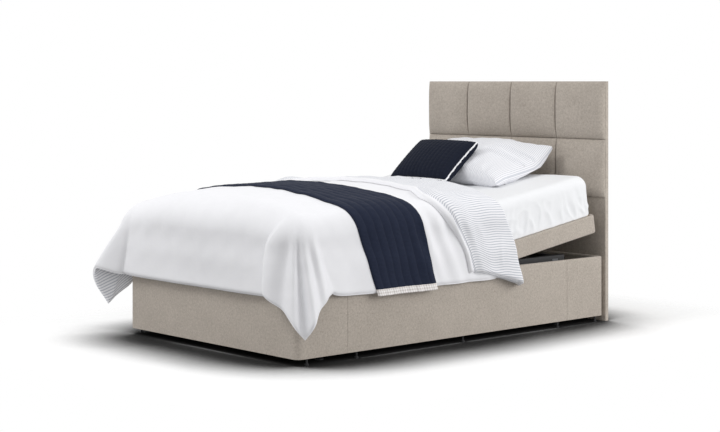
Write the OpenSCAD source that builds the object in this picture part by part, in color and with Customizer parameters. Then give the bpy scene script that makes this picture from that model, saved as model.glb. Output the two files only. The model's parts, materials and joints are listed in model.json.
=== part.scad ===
// Electrically adjustable divan bed with an upholstered box base, a padded headboard,
// a four-part mattress platform and made-up bedding.
// Frame: x runs across the bed, y runs from the foot (negative) to the back of the headboard (zero),
// z runs up from the floor.

/* [Base box] */
// Length of the box from its foot face to its head end
base_length = 1990; // [1900:5:2100]
// Height of the upholstered panels
panel_height = 295; // [290:1:310]
// Gap between the panels and the floor
floor_gap = 30; // [20:1:40]
// Thickness of one padded panel
panel_thickness = 22; // [18:1:24]
// Length of the side returns on the two end panels
end_return = 280; // [240:5:400]
// Outer radius of the vertical corners
corner_radius = 32; // [26:1:60]
// Rounding along the top edges of the panels
top_rounding = 9; // [4:0.5:9]
// Open seam between neighbouring panels
seam_gap = 1.5; // [0.5:0.1:3]
// Radius of a floor glide
glide_radius = 9; // [7:0.5:9.5]
// Height of the wide pad of a floor glide
glide_pad = 8; // [5:0.5:12]

/* [Headboard] */
// How far the headboard stands out beyond each side of the box
headboard_overhang = 5; // [0:1:60]
// Height of the headboard above the floor
headboard_height = 1196; // [1100:1:1300]
// Thickness of the covered board behind the pads
headboard_board = 25; // [18:1:30]
// Gap between the headboard and the box
headboard_gap = 5; // [3:0.5:15]
// Number of pads in one row
pad_columns = 4; // [3:1:5]
// Height of one pad
pad_height = 291; // [260:1:320]
// Crown of the lower pads in front of their seams
lower_crown = 16; // [8:1:18]
// Crown of the upper pads in front of their seams
upper_crown = 20; // [8:1:20]
// Thickness of a pad at its seams
pad_seam = 3; // [2:0.5:5]
// Open seam between neighbouring pads
pad_gap = 1.6; // [1:0.2:3]
// Grid lines across one pad
pad_lines = 11; // [7:2:15]
// Radius of the bolts that hold the headboard
bolt_radius = 4; // [3:0.5:5]
// Radius of their heads and nuts
bolt_head = 9; // [7:0.5:10]

/* [Platform] */
// Height of the upholstered rails round the platform
rail_height = 90; // [88:1:94]
// Thickness of a rail
rail_thickness = 22; // [18:1:24]
// Gap between the box and the rails above it
rail_gap = 5; // [4:0.5:8]
// Rounding of the long edges of a rail
rail_rounding = 7; // [4:0.5:9]
// Thickness of a platform board
deck_board = 18; // [15:1:20]
// Distance from the foot face to the foot rail
foot_inset = 15; // [13:1:17]
// Distance from the foot face to the knee hinge
knee_from_foot = 620; // [600:5:660]
// Distance from the foot face to the hinge of the thigh section
thigh_from_foot = 950; // [930:5:970]
// Distance from the foot face to the hinge of the back section
back_from_foot = 1200; // [1190:5:1230]
// Distance from the foot face to the head end of the back section
back_end_from_foot = 1943; // [1900:1:1945]
// Depth of the hinge pins below the top of the platform
hinge_depth = 35; // [34:0.5:38]
// Angle of the back section in the stored pose
back_rest_angle = 9; // [0:1:20]
// Steepest angle of the back section
back_top_angle = 60; // [40:1:60]
// Share of that angle cut from the seat side of the fold
seat_cut_share = 0.34; // [0.3:0.02:0.5]
// Steepest angle of the thigh section
thigh_top_angle = 30; // [15:1:30]
// Slope of the leg section for each degree of the thigh section
leg_slope_share = 0.568; // [0.56:0.002:0.57]
// Extra angle that keeps folded ends apart
fold_margin = 1.5; // [1:0.5:3]
// Gap between platform parts that meet at a hinge
fold_gap = 1.2; // [0.6:0.1:3]

/* [Mattress] */
// Width of the mattress
mattress_width = 1200; // [900:10:1500]
// Distance from each side of the mattress to the side of the box
mattress_margin = 20; // [18:1:24]
// Length of the mattress
mattress_length = 1900; // [1850:5:1920]
// Thickness of the mattress
mattress_thickness = 200; // [160:5:240]
// Radius of its vertical corners
mattress_corner = 72; // [70:2:90]
// Rounding of its long edges
mattress_rounding = 34; // [20:1:35]

/* [Steel frame] */
// Width of the chassis tubes
chassis_width = 30; // [25:1:30]
// Height of the chassis tubes
chassis_height = 40; // [30:1:40]
// Wall of the chassis tubes
tube_wall = 2; // [1.5:0.1:3]
// Distance from the side of the box to the chassis tubes
chassis_inset = 80; // [75:1:90]
// Height of the top of the chassis above the floor
chassis_top = 340; // [338:0.5:342]
// Distance from the foot face to the foot end of the chassis
chassis_foot = 42; // [40:1:44]
// Distance from the foot face to the head end of the chassis
chassis_head = 1780; // [1740:5:1800]
// Distances of the cross tubes from the foot face
cross_from_foot = [200, 500, 1560, 1730];
// Side of the square legs
leg_side = 30; // [25:1:30]
// Radius of the leg's foot pad
foot_radius = 20; // [15:1:25]
// Height of the foot pad
foot_height = 14; // [8:1:20]
// Side of the square tubes under the boards
section_tube = 25; // [20:1:25]
// Room for the lugs between those tubes and the side plates
section_room = 19; // [18:0.5:22]
// Distance from a hinge to the end of the nearest tube
tube_setback = 30; // [28:1:36]
// Thickness of the side plates and lugs
plate_thickness = 6; // [5:0.5:8]
// Outer radius of a lug
lug_radius = 13; // [12:0.5:14]
// Radius of the hinge pins
pin_radius = 6; // [5:0.5:8]
// Radial clearance between a pin and its hole
running_clearance = 0.06; // [0.03:0.01:0.09]
// Radius of the pin heads and collars
pin_head = 9; // [8:0.5:10]
// Thickness of the pin heads
pin_head_height = 2.5; // [2:0.5:4]
// Distance from the foot face to the axle of the leg wheels
wheel_from_foot = 60; // [58:1:64]
// Radius of the leg wheels
wheel_radius = 18; // [16:1:18]
// Radius of the wheel axle
axle_radius = 5; // [4:0.5:6]
// Gap between parts that roll or slide on one another
rolling_gap = 0.3; // [0.3:0.05:0.6]

/* [Lifting gear] */
// Depth of the push rods below the hinges
horn_depth = 110; // [108:0.5:112]
// Radius of the cross pins on the push rods
cross_pin = 5; // [4:0.5:6]
// Clearance of a cross pin all round in its slot
slot_clearance = 0.3; // [0.3:0.05:0.5]
// Thickness of the slotted horn plates
horn_thickness = 6; // [5:0.5:8]
// Gap between the two horn plates that a rod end fills
horn_gap = 14; // [12:1:18]
// Width of metal left round a slot
horn_rim = 11; // [8:0.5:14]
// Distance from the middle of the bed to each push rod
actuator_offset = 140; // [120:5:200]
// Radius of the push rods
rod_radius = 10; // [8:0.5:11]
// Radius of the tubes that the push rods slide in
rod_tube_radius = 17; // [15:0.5:20]
// Length of those tubes
rod_tube_length = 215; // [200:5:240]
// Length of a gear housing
housing_length = 90; // [70:1:100]
// Width and height of a gear housing
housing_side = 60; // [50:1:60]
// Radius of a drive motor
motor_radius = 27; // [24:0.5:28]
// Length of a drive motor
motor_length = 130; // [100:5:140]
// Width of the control box
control_width = 120; // [100:5:130]
// Length of the control box
control_length = 180; // [150:5:220]
// Height of the control box
control_height = 42; // [36:1:50]
// Width, height and depth of the mains inlet
inlet_size = [20, 11, 16];

/* [Bedding] */
// Clearance between soft pieces and what they rest on
soft_gap = 0.4; // [0.3:0.05:1]
// Thickness of the duvet
duvet_thickness = 34; // [20:1:50]
// Thickness of the duvet where it hangs
duvet_hanging = 22; // [14:1:30]
// Radius with which it turns over the mattress edge
duvet_turn = 48; // [30:1:70]
// Height of its hem above the floor
duvet_hem = 272; // [200:1:350]
// Distance from the foot face to the line under the throw where the duvet is split
duvet_split = 750; // [700:10:800]
// Distance from the foot face to its end under the folded part
duvet_end = 1040; // [1000:10:1060]
// Depth of the folds in its hanging sides
fold_depth = 12; // [0:1:25]
// Length of one of those folds
fold_pitch = 260; // [150:10:400]
// Depth of the fold in its hanging corner on the near side
near_corner_fold = 60; // [20:5:90]
// Depth of the fold that stands out at its far corner
far_corner_fold = 165; // [40:5:180]
// Spread of a hanging corner along the foot face for each unit of drop
foot_spread_share = 0.6; // [0.2:0.05:0.8]
// Spread of a hanging corner along the side for each unit of drop
side_spread_share = 0.68; // [0.2:0.02:1]
// Places of the grid lines of hanging cloth, as shares of its hanging length
hang_shares = [0.04, 0.09, 0.14, 0.2, 0.34, 0.52, 0.74, 1];
// Grid lines across the top of the bedding
top_lines = 8; // [6:1:10]
// Grid lines along the duvet between the foot edge and the throw
duvet_lines = 14; // [10:1:16]
// Width of the throw along the bed
throw_width = 345; // [250:5:450]
// Distance from the foot face to the throw's foot edge in the middle of the bed
throw_from_foot = 310; // [280:5:340]
// Skew of the throw towards the foot for each unit across
throw_skew = 0.1; // [0:0.02:0.2]
// Slant of the throw towards the head for each unit of drop
throw_slant = 0.5; // [0:0.02:0.6]
// Thickness of the throw
throw_thickness = 9; // [5:0.5:14]
// Clearance between the throw and the duvet under it
throw_gap = 1.6; // [1:0.1:3]
// Number of quilted channels across the throw
throw_channels = 7; // [5:1:7]
// Depth of the seams between its channels
channel_depth = 4; // [1:0.5:5]
// Distance from the foot face to the free edge of the folded part on the mattress top
turndown_from_foot = 870; // [850:5:900]
// Distance from the foot face to the crease of the folded part on the mattress top
crease_from_foot = 1275; // [1250:5:1290]
// Slant of the folded part towards the head for each unit of drop
turndown_slant = 0.42; // [0:0.02:0.5]
// Thickness of the folded part
turndown_thickness = 46; // [30:1:70]
// Roundness of its crease
crease_roll = 20; // [5:1:30]
// Size of the pillow across, along and through
pillow_size = [740, 440, 150];
// Place of the pillow's middle across the bed, from the foot face and above the platform
pillow_place = [-10, 1745, 287];
// Extra slope of the pillow against the mattress
pillow_slope = 11; // [0:1:20]
// Size of the cushion across, along and through
cushion_size = [425, 320, 100];
// Place of the cushion's middle across the bed, from the foot face and above the platform
cushion_place = [-65, 1528, 336.5];
// Slope of the cushion against the mattress
cushion_slope = 30; // [26:1:40]
// Depth of the seams between the cushion's channels
cushion_channel = 5; // [0:0.5:8]
// Number of channels across the cushion
cushion_channels = 7; // [4:1:9]
// Grid lines across and along a pillow or cushion
pillow_lines = [29, 15];

/* [Output] */
// Sub-part to draw

/* [Hidden] */
fabric = "tan";
board = "wheat";
steel = "dimgray";
pale = "whitesmoke";
navy = "midnightblue";
dark = "black";
$fn = 64;
overrun = 2;
base_width = mattress_width + 2 * mattress_margin;
headboard_width = base_width + 2 * headboard_overhang;
half_width = base_width / 2;
overall_length = base_length + headboard_gap + headboard_board;
box_top = floor_gap + panel_height;
rail_bottom = box_top + rail_gap;
deck_top = rail_bottom + rail_height;
hinge_height = deck_top - hinge_depth;
tube_bottom = deck_top - deck_board - section_tube;
inner_half = half_width - panel_thickness;
chassis_outer = half_width - chassis_inset;
chassis_inner = chassis_outer - chassis_width;
plate_inner = chassis_inner - plate_thickness;
tube_outer = plate_inner - section_room;
section_half_span = tube_outer - section_tube / 2;
lug_outer = tube_outer + plate_thickness;
collar_outer = plate_inner - rolling_gap;
knee_gap = 1.5;
knee_lug_inner = lug_outer + knee_gap;
knee_lug_outer = knee_lug_inner + plate_thickness;
seat_cut = back_top_angle * seat_cut_share + fold_margin / 2;
back_cut = back_top_angle - seat_cut + fold_margin;
thigh_cut = thigh_top_angle / 2 + fold_margin;
knee_cut = thigh_top_angle * (1 + leg_slope_share) / 2 + fold_margin;
mattress_top = deck_top + mattress_thickness;
seat_ties = [thigh_from_foot + 1.4 * tube_setback, back_from_foot - 1.4 * tube_setback];
radian = 180 / PI;

function along(from_foot) = from_foot - overall_length;

// Rounded upright profile: a panel or rail seen from its end, standing on its lower edge.
module upright_profile(thickness, height, rounding, both = false) {
    low = both ? rounding : 0;
    translate([0, low])
        square([thickness, height - rounding - low]);
    translate([rounding, height - rounding])
        square([thickness - 2 * rounding, rounding]);
    for (at = [rounding, thickness - rounding])
        translate([at, height - rounding])
            circle(r = rounding);
    if (both) {
        translate([rounding, 0])
            square([thickness - 2 * rounding, rounding]);
        for (at = [rounding, thickness - rounding])
            translate([at, rounding])
                circle(r = rounding);
    }
}

// Straight length of that profile along y, its outer face at the given x on the near side.
module straight_panel(outer, from_y, to_y, bottom, height, thickness, rounding, both = false) {
    translate([outer, to_y, bottom])
        rotate([90, 0, 0])
            mirror([1, 0, 0])
                linear_extrude(height = to_y - from_y)
                    upright_profile(thickness, height, rounding, both);
}

// Quarter turn of the profile round a vertical corner.
module corner_panel(radius, bottom, height, thickness, rounding, both = false) {
    translate([0, 0, bottom])
        rotate_extrude(angle = 90)
            translate([radius - thickness, 0])
                upright_profile(thickness, height, rounding, both);
}

// U-shaped end panel of the box, its closed side towards the foot.
module end_panel() {
    straight = half_width - corner_radius;
    for (side = [0, 1])
        mirror([side, 0, 0]) {
            straight_panel(half_width, corner_radius, end_return, floor_gap, panel_height,
                panel_thickness, top_rounding);
            translate([straight, corner_radius, 0])
                rotate([0, 0, -90])
                    corner_panel(corner_radius, floor_gap, panel_height, panel_thickness, top_rounding);
        }
    translate([straight, 0, floor_gap])
        rotate([90, 0, -90])
            linear_extrude(height = 2 * straight)
                mirror([1, 0, 0])
                    upright_profile(panel_thickness, panel_height, top_rounding);
}

module surround_foot() {
    color(fabric)
        translate([0, along(0), 0])
            end_panel();
}

module surround_head() {
    color(fabric)
        difference() {
            translate([0, along(base_length), 0])
                mirror([0, 1, 0])
                    end_panel();
            headboard_fixings(running_clearance);
        }
}

module surround_side(side) {
    color(fabric)
        mirror([side, 0, 0])
            straight_panel(half_width, along(end_return + seam_gap),
                along(base_length - end_return - seam_gap), floor_gap, panel_height,
                panel_thickness, top_rounding);
}

// Bent plate that joins two panels at their seam and reaches the chassis tube.
plate_length = 80;
plate_drop = 190;
thin_plate = 3;
arm_width = 40;
tab_height = 24;
module surround_brackets() {
    color(steel)
        for (side = [0, 1], seam = [end_return, base_length - end_return])
            mirror([side, 0, 0])
                translate([0, along(seam), 0]) {
                    arm_bottom = chassis_top - chassis_height;
                    translate([inner_half - thin_plate, -plate_length / 2, arm_bottom - plate_drop])
                        cube([thin_plate, plate_length, plate_drop + thin_plate]);
                    translate([chassis_outer, -arm_width / 2, arm_bottom])
                        cube([inner_half - chassis_outer, arm_width, thin_plate]);
                    translate([chassis_outer, -arm_width / 2, arm_bottom])
                        cube([thin_plate, arm_width, tab_height]);
                }
}

glide_inset = 60;
module surround_glides() {
    middle = half_width - panel_thickness / 2;
    color(dark)
        for (side = [-1, 1],
             from_foot = [glide_inset, end_return + glide_inset, base_length / 2,
                 base_length - end_return - glide_inset, base_length - glide_inset])
            translate([side * middle, along(from_foot), 0]) {
                cylinder(h = glide_pad, r = glide_radius);
                cylinder(h = floor_gap, r = glide_radius / 2);
            }
}

// Headboard: a covered board with two rows of crowned pads.
module headboard_panel() {
    edge = 5;
    color(fabric)
        difference() {
            union() {
                translate([-headboard_width / 2 + edge, -headboard_board, 0])
                    cube([headboard_width - 2 * edge, headboard_board, headboard_height]);
                translate([-headboard_width / 2, edge - headboard_board, 0])
                    cube([headboard_width, headboard_board - 2 * edge, headboard_height]);
                for (side = [-1, 1], at = [edge - headboard_board, -edge])
                    translate([side * (headboard_width / 2 - edge), at, 0])
                        cylinder(h = headboard_height, r = edge);
            }
            headboard_fixings(running_clearance);
        }
}

bolt_spacing = [700, 140];
bolt_height = 190;
// Bolts from the back of the headboard through the head panel, made larger by a clearance for their holes.
module headboard_fixings(clearance) {
    head = 7;
    tail = headboard_board + headboard_gap + panel_thickness;
    nut = 6;
    for (side = [-1, 1], row = [-1, 1])
        translate([side * bolt_spacing[0] / 2, 0, bolt_height + row * bolt_spacing[1] / 2])
            rotate([90, 0, 0]) {
                translate([0, 0, clearance > 0 ? -overrun : 0])
                    cylinder(h = head + (clearance > 0 ? overrun : 0), r = bolt_head + clearance);
                cylinder(h = tail + nut + head, r = bolt_radius + clearance);
                if (clearance == 0)
                    translate([0, 0, tail])
                        cylinder(h = nut, r = bolt_head, $fn = 6);
            }
}

module headboard_bolts() {
    color(steel)
        headboard_fixings(0);
}

// Front of a pad: full in the middle, falling steeply to its drawn-in seams.
pad_fullness = 0.42;
function pad_rise(u, v) = pow(max(0, (1 - pow(u, 2)) * (1 - pow(v, 2))), pad_fullness);
pad_draw_share = 0.012;
function draw_in(v) = 1 - pad_draw_share * (1 - pow(v, 2));

module crowned_pad(width, height, crown) {
    n = pad_lines;
    last = n - 1;
    function at(k) = 2 * k / last - 1;
    front = [for (j = [0:last], i = [0:last])
        [at(i) * width / 2 * draw_in(at(j)),
         -pad_seam - crown * pad_rise(at(i), at(j)),
         at(j) * height / 2 * draw_in(at(i))]];
    back = [for (p = front) [p[0], 0, p[2]]];
    rim = concat(
        [for (i = [0:last - 1]) i],
        [for (j = [0:last - 1]) j * n + last],
        [for (i = [0:last - 1]) last * n + last - i],
        [for (j = [0:last - 1]) (last - j) * n]);
    count = len(rim);
    size = n * n;
    polyhedron(
        points = concat(front, [for (k = rim) back[k]]),
        faces = concat(
            [for (j = [0:last - 1], i = [0:last - 1]) each [
                [j * n + i, (j + 1) * n + i + 1, j * n + i + 1],
                [j * n + i, (j + 1) * n + i, (j + 1) * n + i + 1]]],
            [for (k = [0:count - 1]) let (m = (k + 1) % count) each [
                [rim[k], rim[m], size + k],
                [rim[m], size + m, size + k]]],
            [[for (k = [0:count - 1]) size + k]]));
}

module pad_row(middle_height, crown) {
    pitch = headboard_width / pad_columns;
    color(fabric)
        for (k = [0:pad_columns - 1])
            translate([(k - (pad_columns - 1) / 2) * pitch, -headboard_board - soft_gap, middle_height])
                crowned_pad(pitch - pad_gap, pad_height - pad_gap, crown);
}

module headboard_pads_upper() {
    pad_row(headboard_height - pad_height / 2, upper_crown);
}

module headboard_pads_lower() {
    pad_row(headboard_height - pad_height * 3 / 2, lower_crown);
}

// Steel chassis.
module tube_along(x, width, height, from_y, to_y, bottom) {
    translate([x - width / 2, from_y, bottom])
        difference() {
            cube([width, to_y - from_y, height]);
            translate([tube_wall, -overrun, tube_wall])
                cube([width - 2 * tube_wall, to_y - from_y + 2 * overrun, height - 2 * tube_wall]);
        }
}

module tube_across(half, depth, height, middle_y, bottom) {
    translate([-half, middle_y - depth / 2, bottom])
        difference() {
            cube([2 * half, depth, height]);
            translate([-overrun, tube_wall, tube_wall])
                cube([2 * half + 2 * overrun, depth - 2 * tube_wall, height - 2 * tube_wall]);
        }
}

module chassis_side_tubes() {
    color(steel)
        for (side = [-1, 1])
            tube_along(side * (chassis_outer - chassis_width / 2), chassis_width, chassis_height,
                along(chassis_foot), along(chassis_head), chassis_top - chassis_height);
}

module chassis_cross_tubes() {
    color(steel)
        for (from_foot = cross_from_foot)
            tube_across(chassis_inner, chassis_width, chassis_height, along(from_foot),
                chassis_top - chassis_height);
}

leg_spots = [cross_from_foot[0], cross_from_foot[3]];
module chassis_legs() {
    color(steel)
        for (side = [-1, 1], from_foot = leg_spots)
            translate([side * (chassis_outer - chassis_width / 2), along(from_foot), foot_height])
                difference() {
                    translate([-leg_side / 2, -leg_side / 2, 0])
                        cube([leg_side, leg_side, chassis_top - chassis_height - foot_height]);
                    translate([tube_wall - leg_side / 2, tube_wall - leg_side / 2, tube_wall])
                        cube([leg_side - 2 * tube_wall, leg_side - 2 * tube_wall, chassis_top]);
                }
}

module chassis_feet() {
    rim = 5;
    color(dark)
        for (side = [-1, 1], from_foot = leg_spots)
            translate([side * (chassis_outer - chassis_width / 2), along(from_foot), 0]) {
                cylinder(h = rim, r = foot_radius);
                translate([0, 0, rim])
                    cylinder(h = foot_height - rim, r1 = foot_radius, r2 = foot_radius * 0.6);
            }
}

// Side plates: each carries the pins of the back and thigh hinges.
module side_plates() {
    ends = 24;
    bottom = chassis_top - chassis_height;
    color(steel)
        for (side = [0, 1])
            mirror([side, 0, 0])
                translate([plate_inner, 0, 0])
                    rotate([90, 0, 90])
                        linear_extrude(height = plate_thickness)
                            difference() {
                                union() {
                                    translate([along(thigh_from_foot) - ends, bottom])
                                        square([back_from_foot - thigh_from_foot + 2 * ends,
                                            hinge_height - lug_radius - bottom]);
                                    for (from_foot = [thigh_from_foot, back_from_foot]) {
                                        translate([along(from_foot), hinge_height])
                                            circle(r = lug_radius);
                                        translate([along(from_foot) - lug_radius, hinge_height - lug_radius - overrun])
                                            square([2 * lug_radius, lug_radius + overrun]);
                                    }
                                    for (from_foot = seat_ties)
                                        translate([along(from_foot) - lug_radius, bottom])
                                            square([2 * lug_radius, tube_bottom + section_tube - bottom]);
                                }
                                for (from_foot = [thigh_from_foot, back_from_foot])
                                    translate([along(from_foot), hinge_height])
                                        circle(r = pin_radius + running_clearance);
                                translate([along((thigh_from_foot + back_from_foot) / 2),
                                    (bottom + hinge_height - lug_radius) / 2])
                                    circle(r = lug_radius);
                            }
}

// Seat frame: two short tubes tied across and welded to the side plates.
module seat_frame() {
    color(steel) {
        for (side = [-1, 1])
            tube_along(side * section_half_span, section_tube, section_tube,
                along(thigh_from_foot + tube_setback), along(back_from_foot - tube_setback), tube_bottom);
        for (side = [0, 1], from_foot = seat_ties)
            mirror([side, 0, 0])
                translate([tube_outer, along(from_foot) - lug_radius / 2, tube_bottom + tube_wall])
                    cube([plate_inner - tube_outer, lug_radius, section_tube - 2 * tube_wall]);
        tube_across(section_half_span - section_tube / 2, section_tube, section_tube,
            along((thigh_from_foot + back_from_foot) / 2), tube_bottom);
    }
}

// Shouldered pin along x, its head on the inside.
module shouldered_pin(collar_from, collar_to, end) {
    head_from = tube_outer - rolling_gap;
    rotate([0, 90, 0]) {
        translate([0, 0, head_from - pin_head_height])
            cylinder(h = pin_head_height, r = pin_head);
        translate([0, 0, head_from])
            cylinder(h = end - head_from, r = pin_radius);
        translate([0, 0, collar_from])
            cylinder(h = collar_to - collar_from, r = pin_head);
    }
}

module hinge_pins() {
    color(steel)
        for (side = [0, 1], from_foot = [thigh_from_foot, back_from_foot])
            mirror([side, 0, 0])
                translate([0, along(from_foot), hinge_height])
                    shouldered_pin(lug_outer + rolling_gap, plate_inner, chassis_inner);
}

module knee_pins() {
    color(steel)
        for (side = [0, 1])
            mirror([side, 0, 0])
                translate([0, along(knee_from_foot), hinge_height])
                    shouldered_pin(knee_lug_outer + rolling_gap, knee_lug_outer + rolling_gap + pin_head_height,
                        knee_lug_outer + rolling_gap);
}

// Lug: round eye at a hinge with a strap that runs along its tube.
module lug_plate(inner, toward, strap) {
    translate([inner, 0, 0])
        rotate([90, 0, 90])
            linear_extrude(height = plate_thickness)
                difference() {
                    union() {
                        circle(r = lug_radius);
                        translate([toward > 0 ? 0 : -strap, -lug_radius])
                            square([strap, 2 * lug_radius]);
                    }
                    circle(r = pin_radius + running_clearance);
                }
}

lug_strap = 90;

// Slotted horn under a hinge. The curve of the slot is the path of the cross pin seen from the turning
// section, so that the section turns in step with the travel of the push rod: one horn depth a radian.
function slot_point(angle) =
    let (travel = horn_depth * angle / radian)
    [travel * cos(angle) - horn_depth * sin(angle),
     -travel * sin(angle) - horn_depth * cos(angle)];
function slot_normal(angle) = [cos(angle), -sin(angle)];
slot_steps = 24;
end_steps = 12;
function turned(v, angle) = [v[0] * cos(angle) + v[1] * sin(angle), v[1] * cos(angle) - v[0] * sin(angle)];
// Half circle of points round one end of the slot.
function slot_end(angle, start) =
    [for (k = [1:end_steps - 1]) slot_point(angle) + turned(start, 180 * k / end_steps)];

module slot_shape(top_angle, half) {
    angles = [for (k = [0:slot_steps]) top_angle * k / slot_steps];
    polygon(concat(
        [for (a = angles) slot_point(a) + half * slot_normal(a)],
        slot_end(top_angle, half * slot_normal(top_angle)),
        [for (k = [0:slot_steps]) let (a = angles[slot_steps - k]) slot_point(a) - half * slot_normal(a)],
        slot_end(0, -half * slot_normal(0))));
}

horn_root = 60;
module horn(top_angle) {
    low = cross_pin + slot_clearance;
    rim = low + horn_rim;
    for (side = [-1, 1])
        translate([side * (horn_gap + horn_thickness) / 2 - horn_thickness / 2, 0, 0])
            rotate([90, 0, 90])
                linear_extrude(height = horn_thickness)
                    difference() {
                        union() {
                            slot_shape(top_angle, rim);
                            polygon([
                                slot_point(0) + [-rim, 0],
                                slot_point(0) + [rim, 0],
                                [horn_root, tube_bottom - hinge_height],
                                [tube_setback, tube_bottom - hinge_height]]);
                        }
                        slot_shape(top_angle, low);
                    }
}

// Everything below is drawn flat and turned to the stored pose of the back section.
module at_back_pose() {
    translate([0, along(back_from_foot), hinge_height])
        rotate([back_rest_angle, 0, 0])
            translate([0, -along(back_from_foot), -hinge_height])
                children();
}

back_cross = [1610, 1880];
module back_frame() {
    half = section_half_span - section_tube / 2;
    color(steel)
        at_back_pose() {
            for (side = [-1, 1])
                tube_along(side * section_half_span, section_tube, section_tube,
                    along(back_from_foot + tube_setback), along(back_cross[1]), tube_bottom);
            for (from_foot = back_cross)
                tube_across(half, section_tube, section_tube, along(from_foot) - section_tube / 2, tube_bottom);
            tube_across(half, section_tube, section_tube,
                along(back_from_foot + tube_setback) + section_tube / 2, tube_bottom);
            translate([actuator_offset, along(back_from_foot), hinge_height])
                horn(back_top_angle);
            for (side = [0, 1])
                mirror([side, 0, 0])
                    translate([0, along(back_from_foot), hinge_height])
                        lug_plate(tube_outer, 1, lug_strap);
        }
}

module thigh_frame() {
    half = section_half_span - section_tube / 2;
    color(steel) {
        for (side = [-1, 1])
            tube_along(side * section_half_span, section_tube, section_tube,
                along(knee_from_foot + tube_setback), along(thigh_from_foot - tube_setback), tube_bottom);
        for (at = [along(thigh_from_foot - tube_setback) - section_tube / 2,
                   along(knee_from_foot + tube_setback) + section_tube / 2])
            tube_across(half, section_tube, section_tube, at, tube_bottom);
        translate([-actuator_offset, along(thigh_from_foot), hinge_height])
            mirror([0, 1, 0])
                horn(thigh_top_angle);
        for (side = [0, 1])
            mirror([side, 0, 0]) {
                translate([0, along(thigh_from_foot), hinge_height])
                    lug_plate(tube_outer, -1, lug_strap);
                translate([0, along(knee_from_foot), hinge_height])
                    lug_plate(tube_outer, 1, lug_strap);
            }
    }
}

leg_cross = [120, 400];
wheel_z = chassis_top + rolling_gap + wheel_radius;
module leg_frame() {
    hanger = 26;
    packer_length = 40;
    color(steel) {
        difference() {
            for (side = [-1, 1])
                tube_along(side * section_half_span, section_tube, section_tube,
                    along(leg_cross[0]), along(knee_from_foot - tube_setback), tube_bottom);
        }
        for (from_foot = leg_cross)
            tube_across(section_half_span - section_tube / 2, section_tube, section_tube,
                along(from_foot) + section_tube / 2, tube_bottom);
        for (side = [0, 1])
            mirror([side, 0, 0]) {
                translate([0, along(knee_from_foot), hinge_height])
                    lug_plate(knee_lug_inner, -1, lug_strap);
                translate([tube_outer, along(knee_from_foot) - lug_strap, tube_bottom + tube_wall])
                    cube([knee_lug_inner - tube_outer, packer_length, section_tube - 2 * tube_wall]);
                translate([tube_outer, 0, 0])
                    rotate([90, 0, 90])
                        linear_extrude(height = plate_thickness)
                            difference() {
                                union() {
                                    translate([along(wheel_from_foot), wheel_z])
                                        circle(r = lug_radius);
                                    translate([along(wheel_from_foot) - lug_radius, wheel_z])
                                        square([2 * lug_radius, tube_bottom + section_tube - wheel_z]);
                                    translate([along(wheel_from_foot), tube_bottom])
                                        square([leg_cross[0] - wheel_from_foot + 2 * hanger, section_tube]);
                                }
                                translate([along(wheel_from_foot), wheel_z])
                                    circle(r = axle_radius + running_clearance);
                            }
            }
    }
}

// Wheels of the leg section on one axle.
module leg_wheels() {
    axle_half = chassis_outer - tube_wall;
    hub = axle_radius + 3;
    tread = chassis_width - 2 * tube_wall;
    color(dark)
        translate([0, along(wheel_from_foot), wheel_z])
            rotate([0, 90, 0]) {
                translate([0, 0, -axle_half])
                    cylinder(h = 2 * axle_half, r = axle_radius);
                for (side = [0, 1])
                    mirror([0, 0, side]) {
                        translate([0, 0, axle_half - tread])
                            cylinder(h = tread, r = wheel_radius);
                        translate([0, 0, lug_outer + rolling_gap])
                            cylinder(h = axle_half - lug_outer - rolling_gap, r = hub);
                    }
            }
}

// Boards of the platform, between the side rails.
module deck_panel(from_foot, to_foot) {
    half = half_width - rail_thickness;
    color(board)
        translate([-half, along(from_foot), deck_top - deck_board])
            cube([2 * half, to_foot - from_foot, deck_board]);
}

function cut_run(angle) = hinge_depth * tan(angle) + fold_gap;

module seat_board() {
    deck_panel(thigh_from_foot + cut_run(thigh_cut), back_from_foot - cut_run(seat_cut));
}

module thigh_board() {
    deck_panel(knee_from_foot + fold_gap, thigh_from_foot - cut_run(thigh_cut));
}

module leg_board() {
    deck_panel(foot_inset + corner_radius, knee_from_foot - fold_gap);
}

module back_board() {
    at_back_pose()
        deck_panel(back_from_foot + cut_run(back_cut), back_end_from_foot - corner_radius);
}

// Wedge with its edge on a hinge, open upwards or downwards, that clears a fold.
module fold_wedge(from_foot, foot_angle, head_angle, up) {
    reach = mattress_thickness * 2;
    wide = base_width;
    translate([-wide, along(from_foot), hinge_height])
        rotate([90, 0, 90])
            linear_extrude(height = 2 * wide)
                scale([1, up])
                    polygon([
                        [-fold_gap, 0],
                        [-fold_gap - reach * tan(foot_angle), reach],
                        [fold_gap + reach * tan(head_angle), reach],
                        [fold_gap, 0]]);
}

module side_rails(from_foot, to_foot) {
    for (side = [0, 1])
        mirror([side, 0, 0])
            straight_panel(half_width, along(from_foot), along(to_foot), rail_bottom, rail_height,
                rail_thickness, rail_rounding, true);
}

module seat_rails() {
    color(fabric)
        difference() {
            side_rails(thigh_from_foot + fold_gap, back_from_foot - fold_gap);
            fold_wedge(back_from_foot, seat_cut, seat_cut, 1);
            fold_wedge(thigh_from_foot, thigh_cut, thigh_cut, 1);
        }
}

module thigh_rails() {
    color(fabric)
        difference() {
            side_rails(knee_from_foot + fold_gap, thigh_from_foot - fold_gap);
            fold_wedge(thigh_from_foot, thigh_cut, thigh_cut, 1);
            fold_wedge(knee_from_foot, knee_cut, knee_cut, -1);
        }
}

module rail_corner() {
    translate([half_width - corner_radius, corner_radius, 0])
        rotate([0, 0, -90])
            corner_panel(corner_radius, rail_bottom, rail_height, rail_thickness, rail_rounding, true);
}

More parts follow.
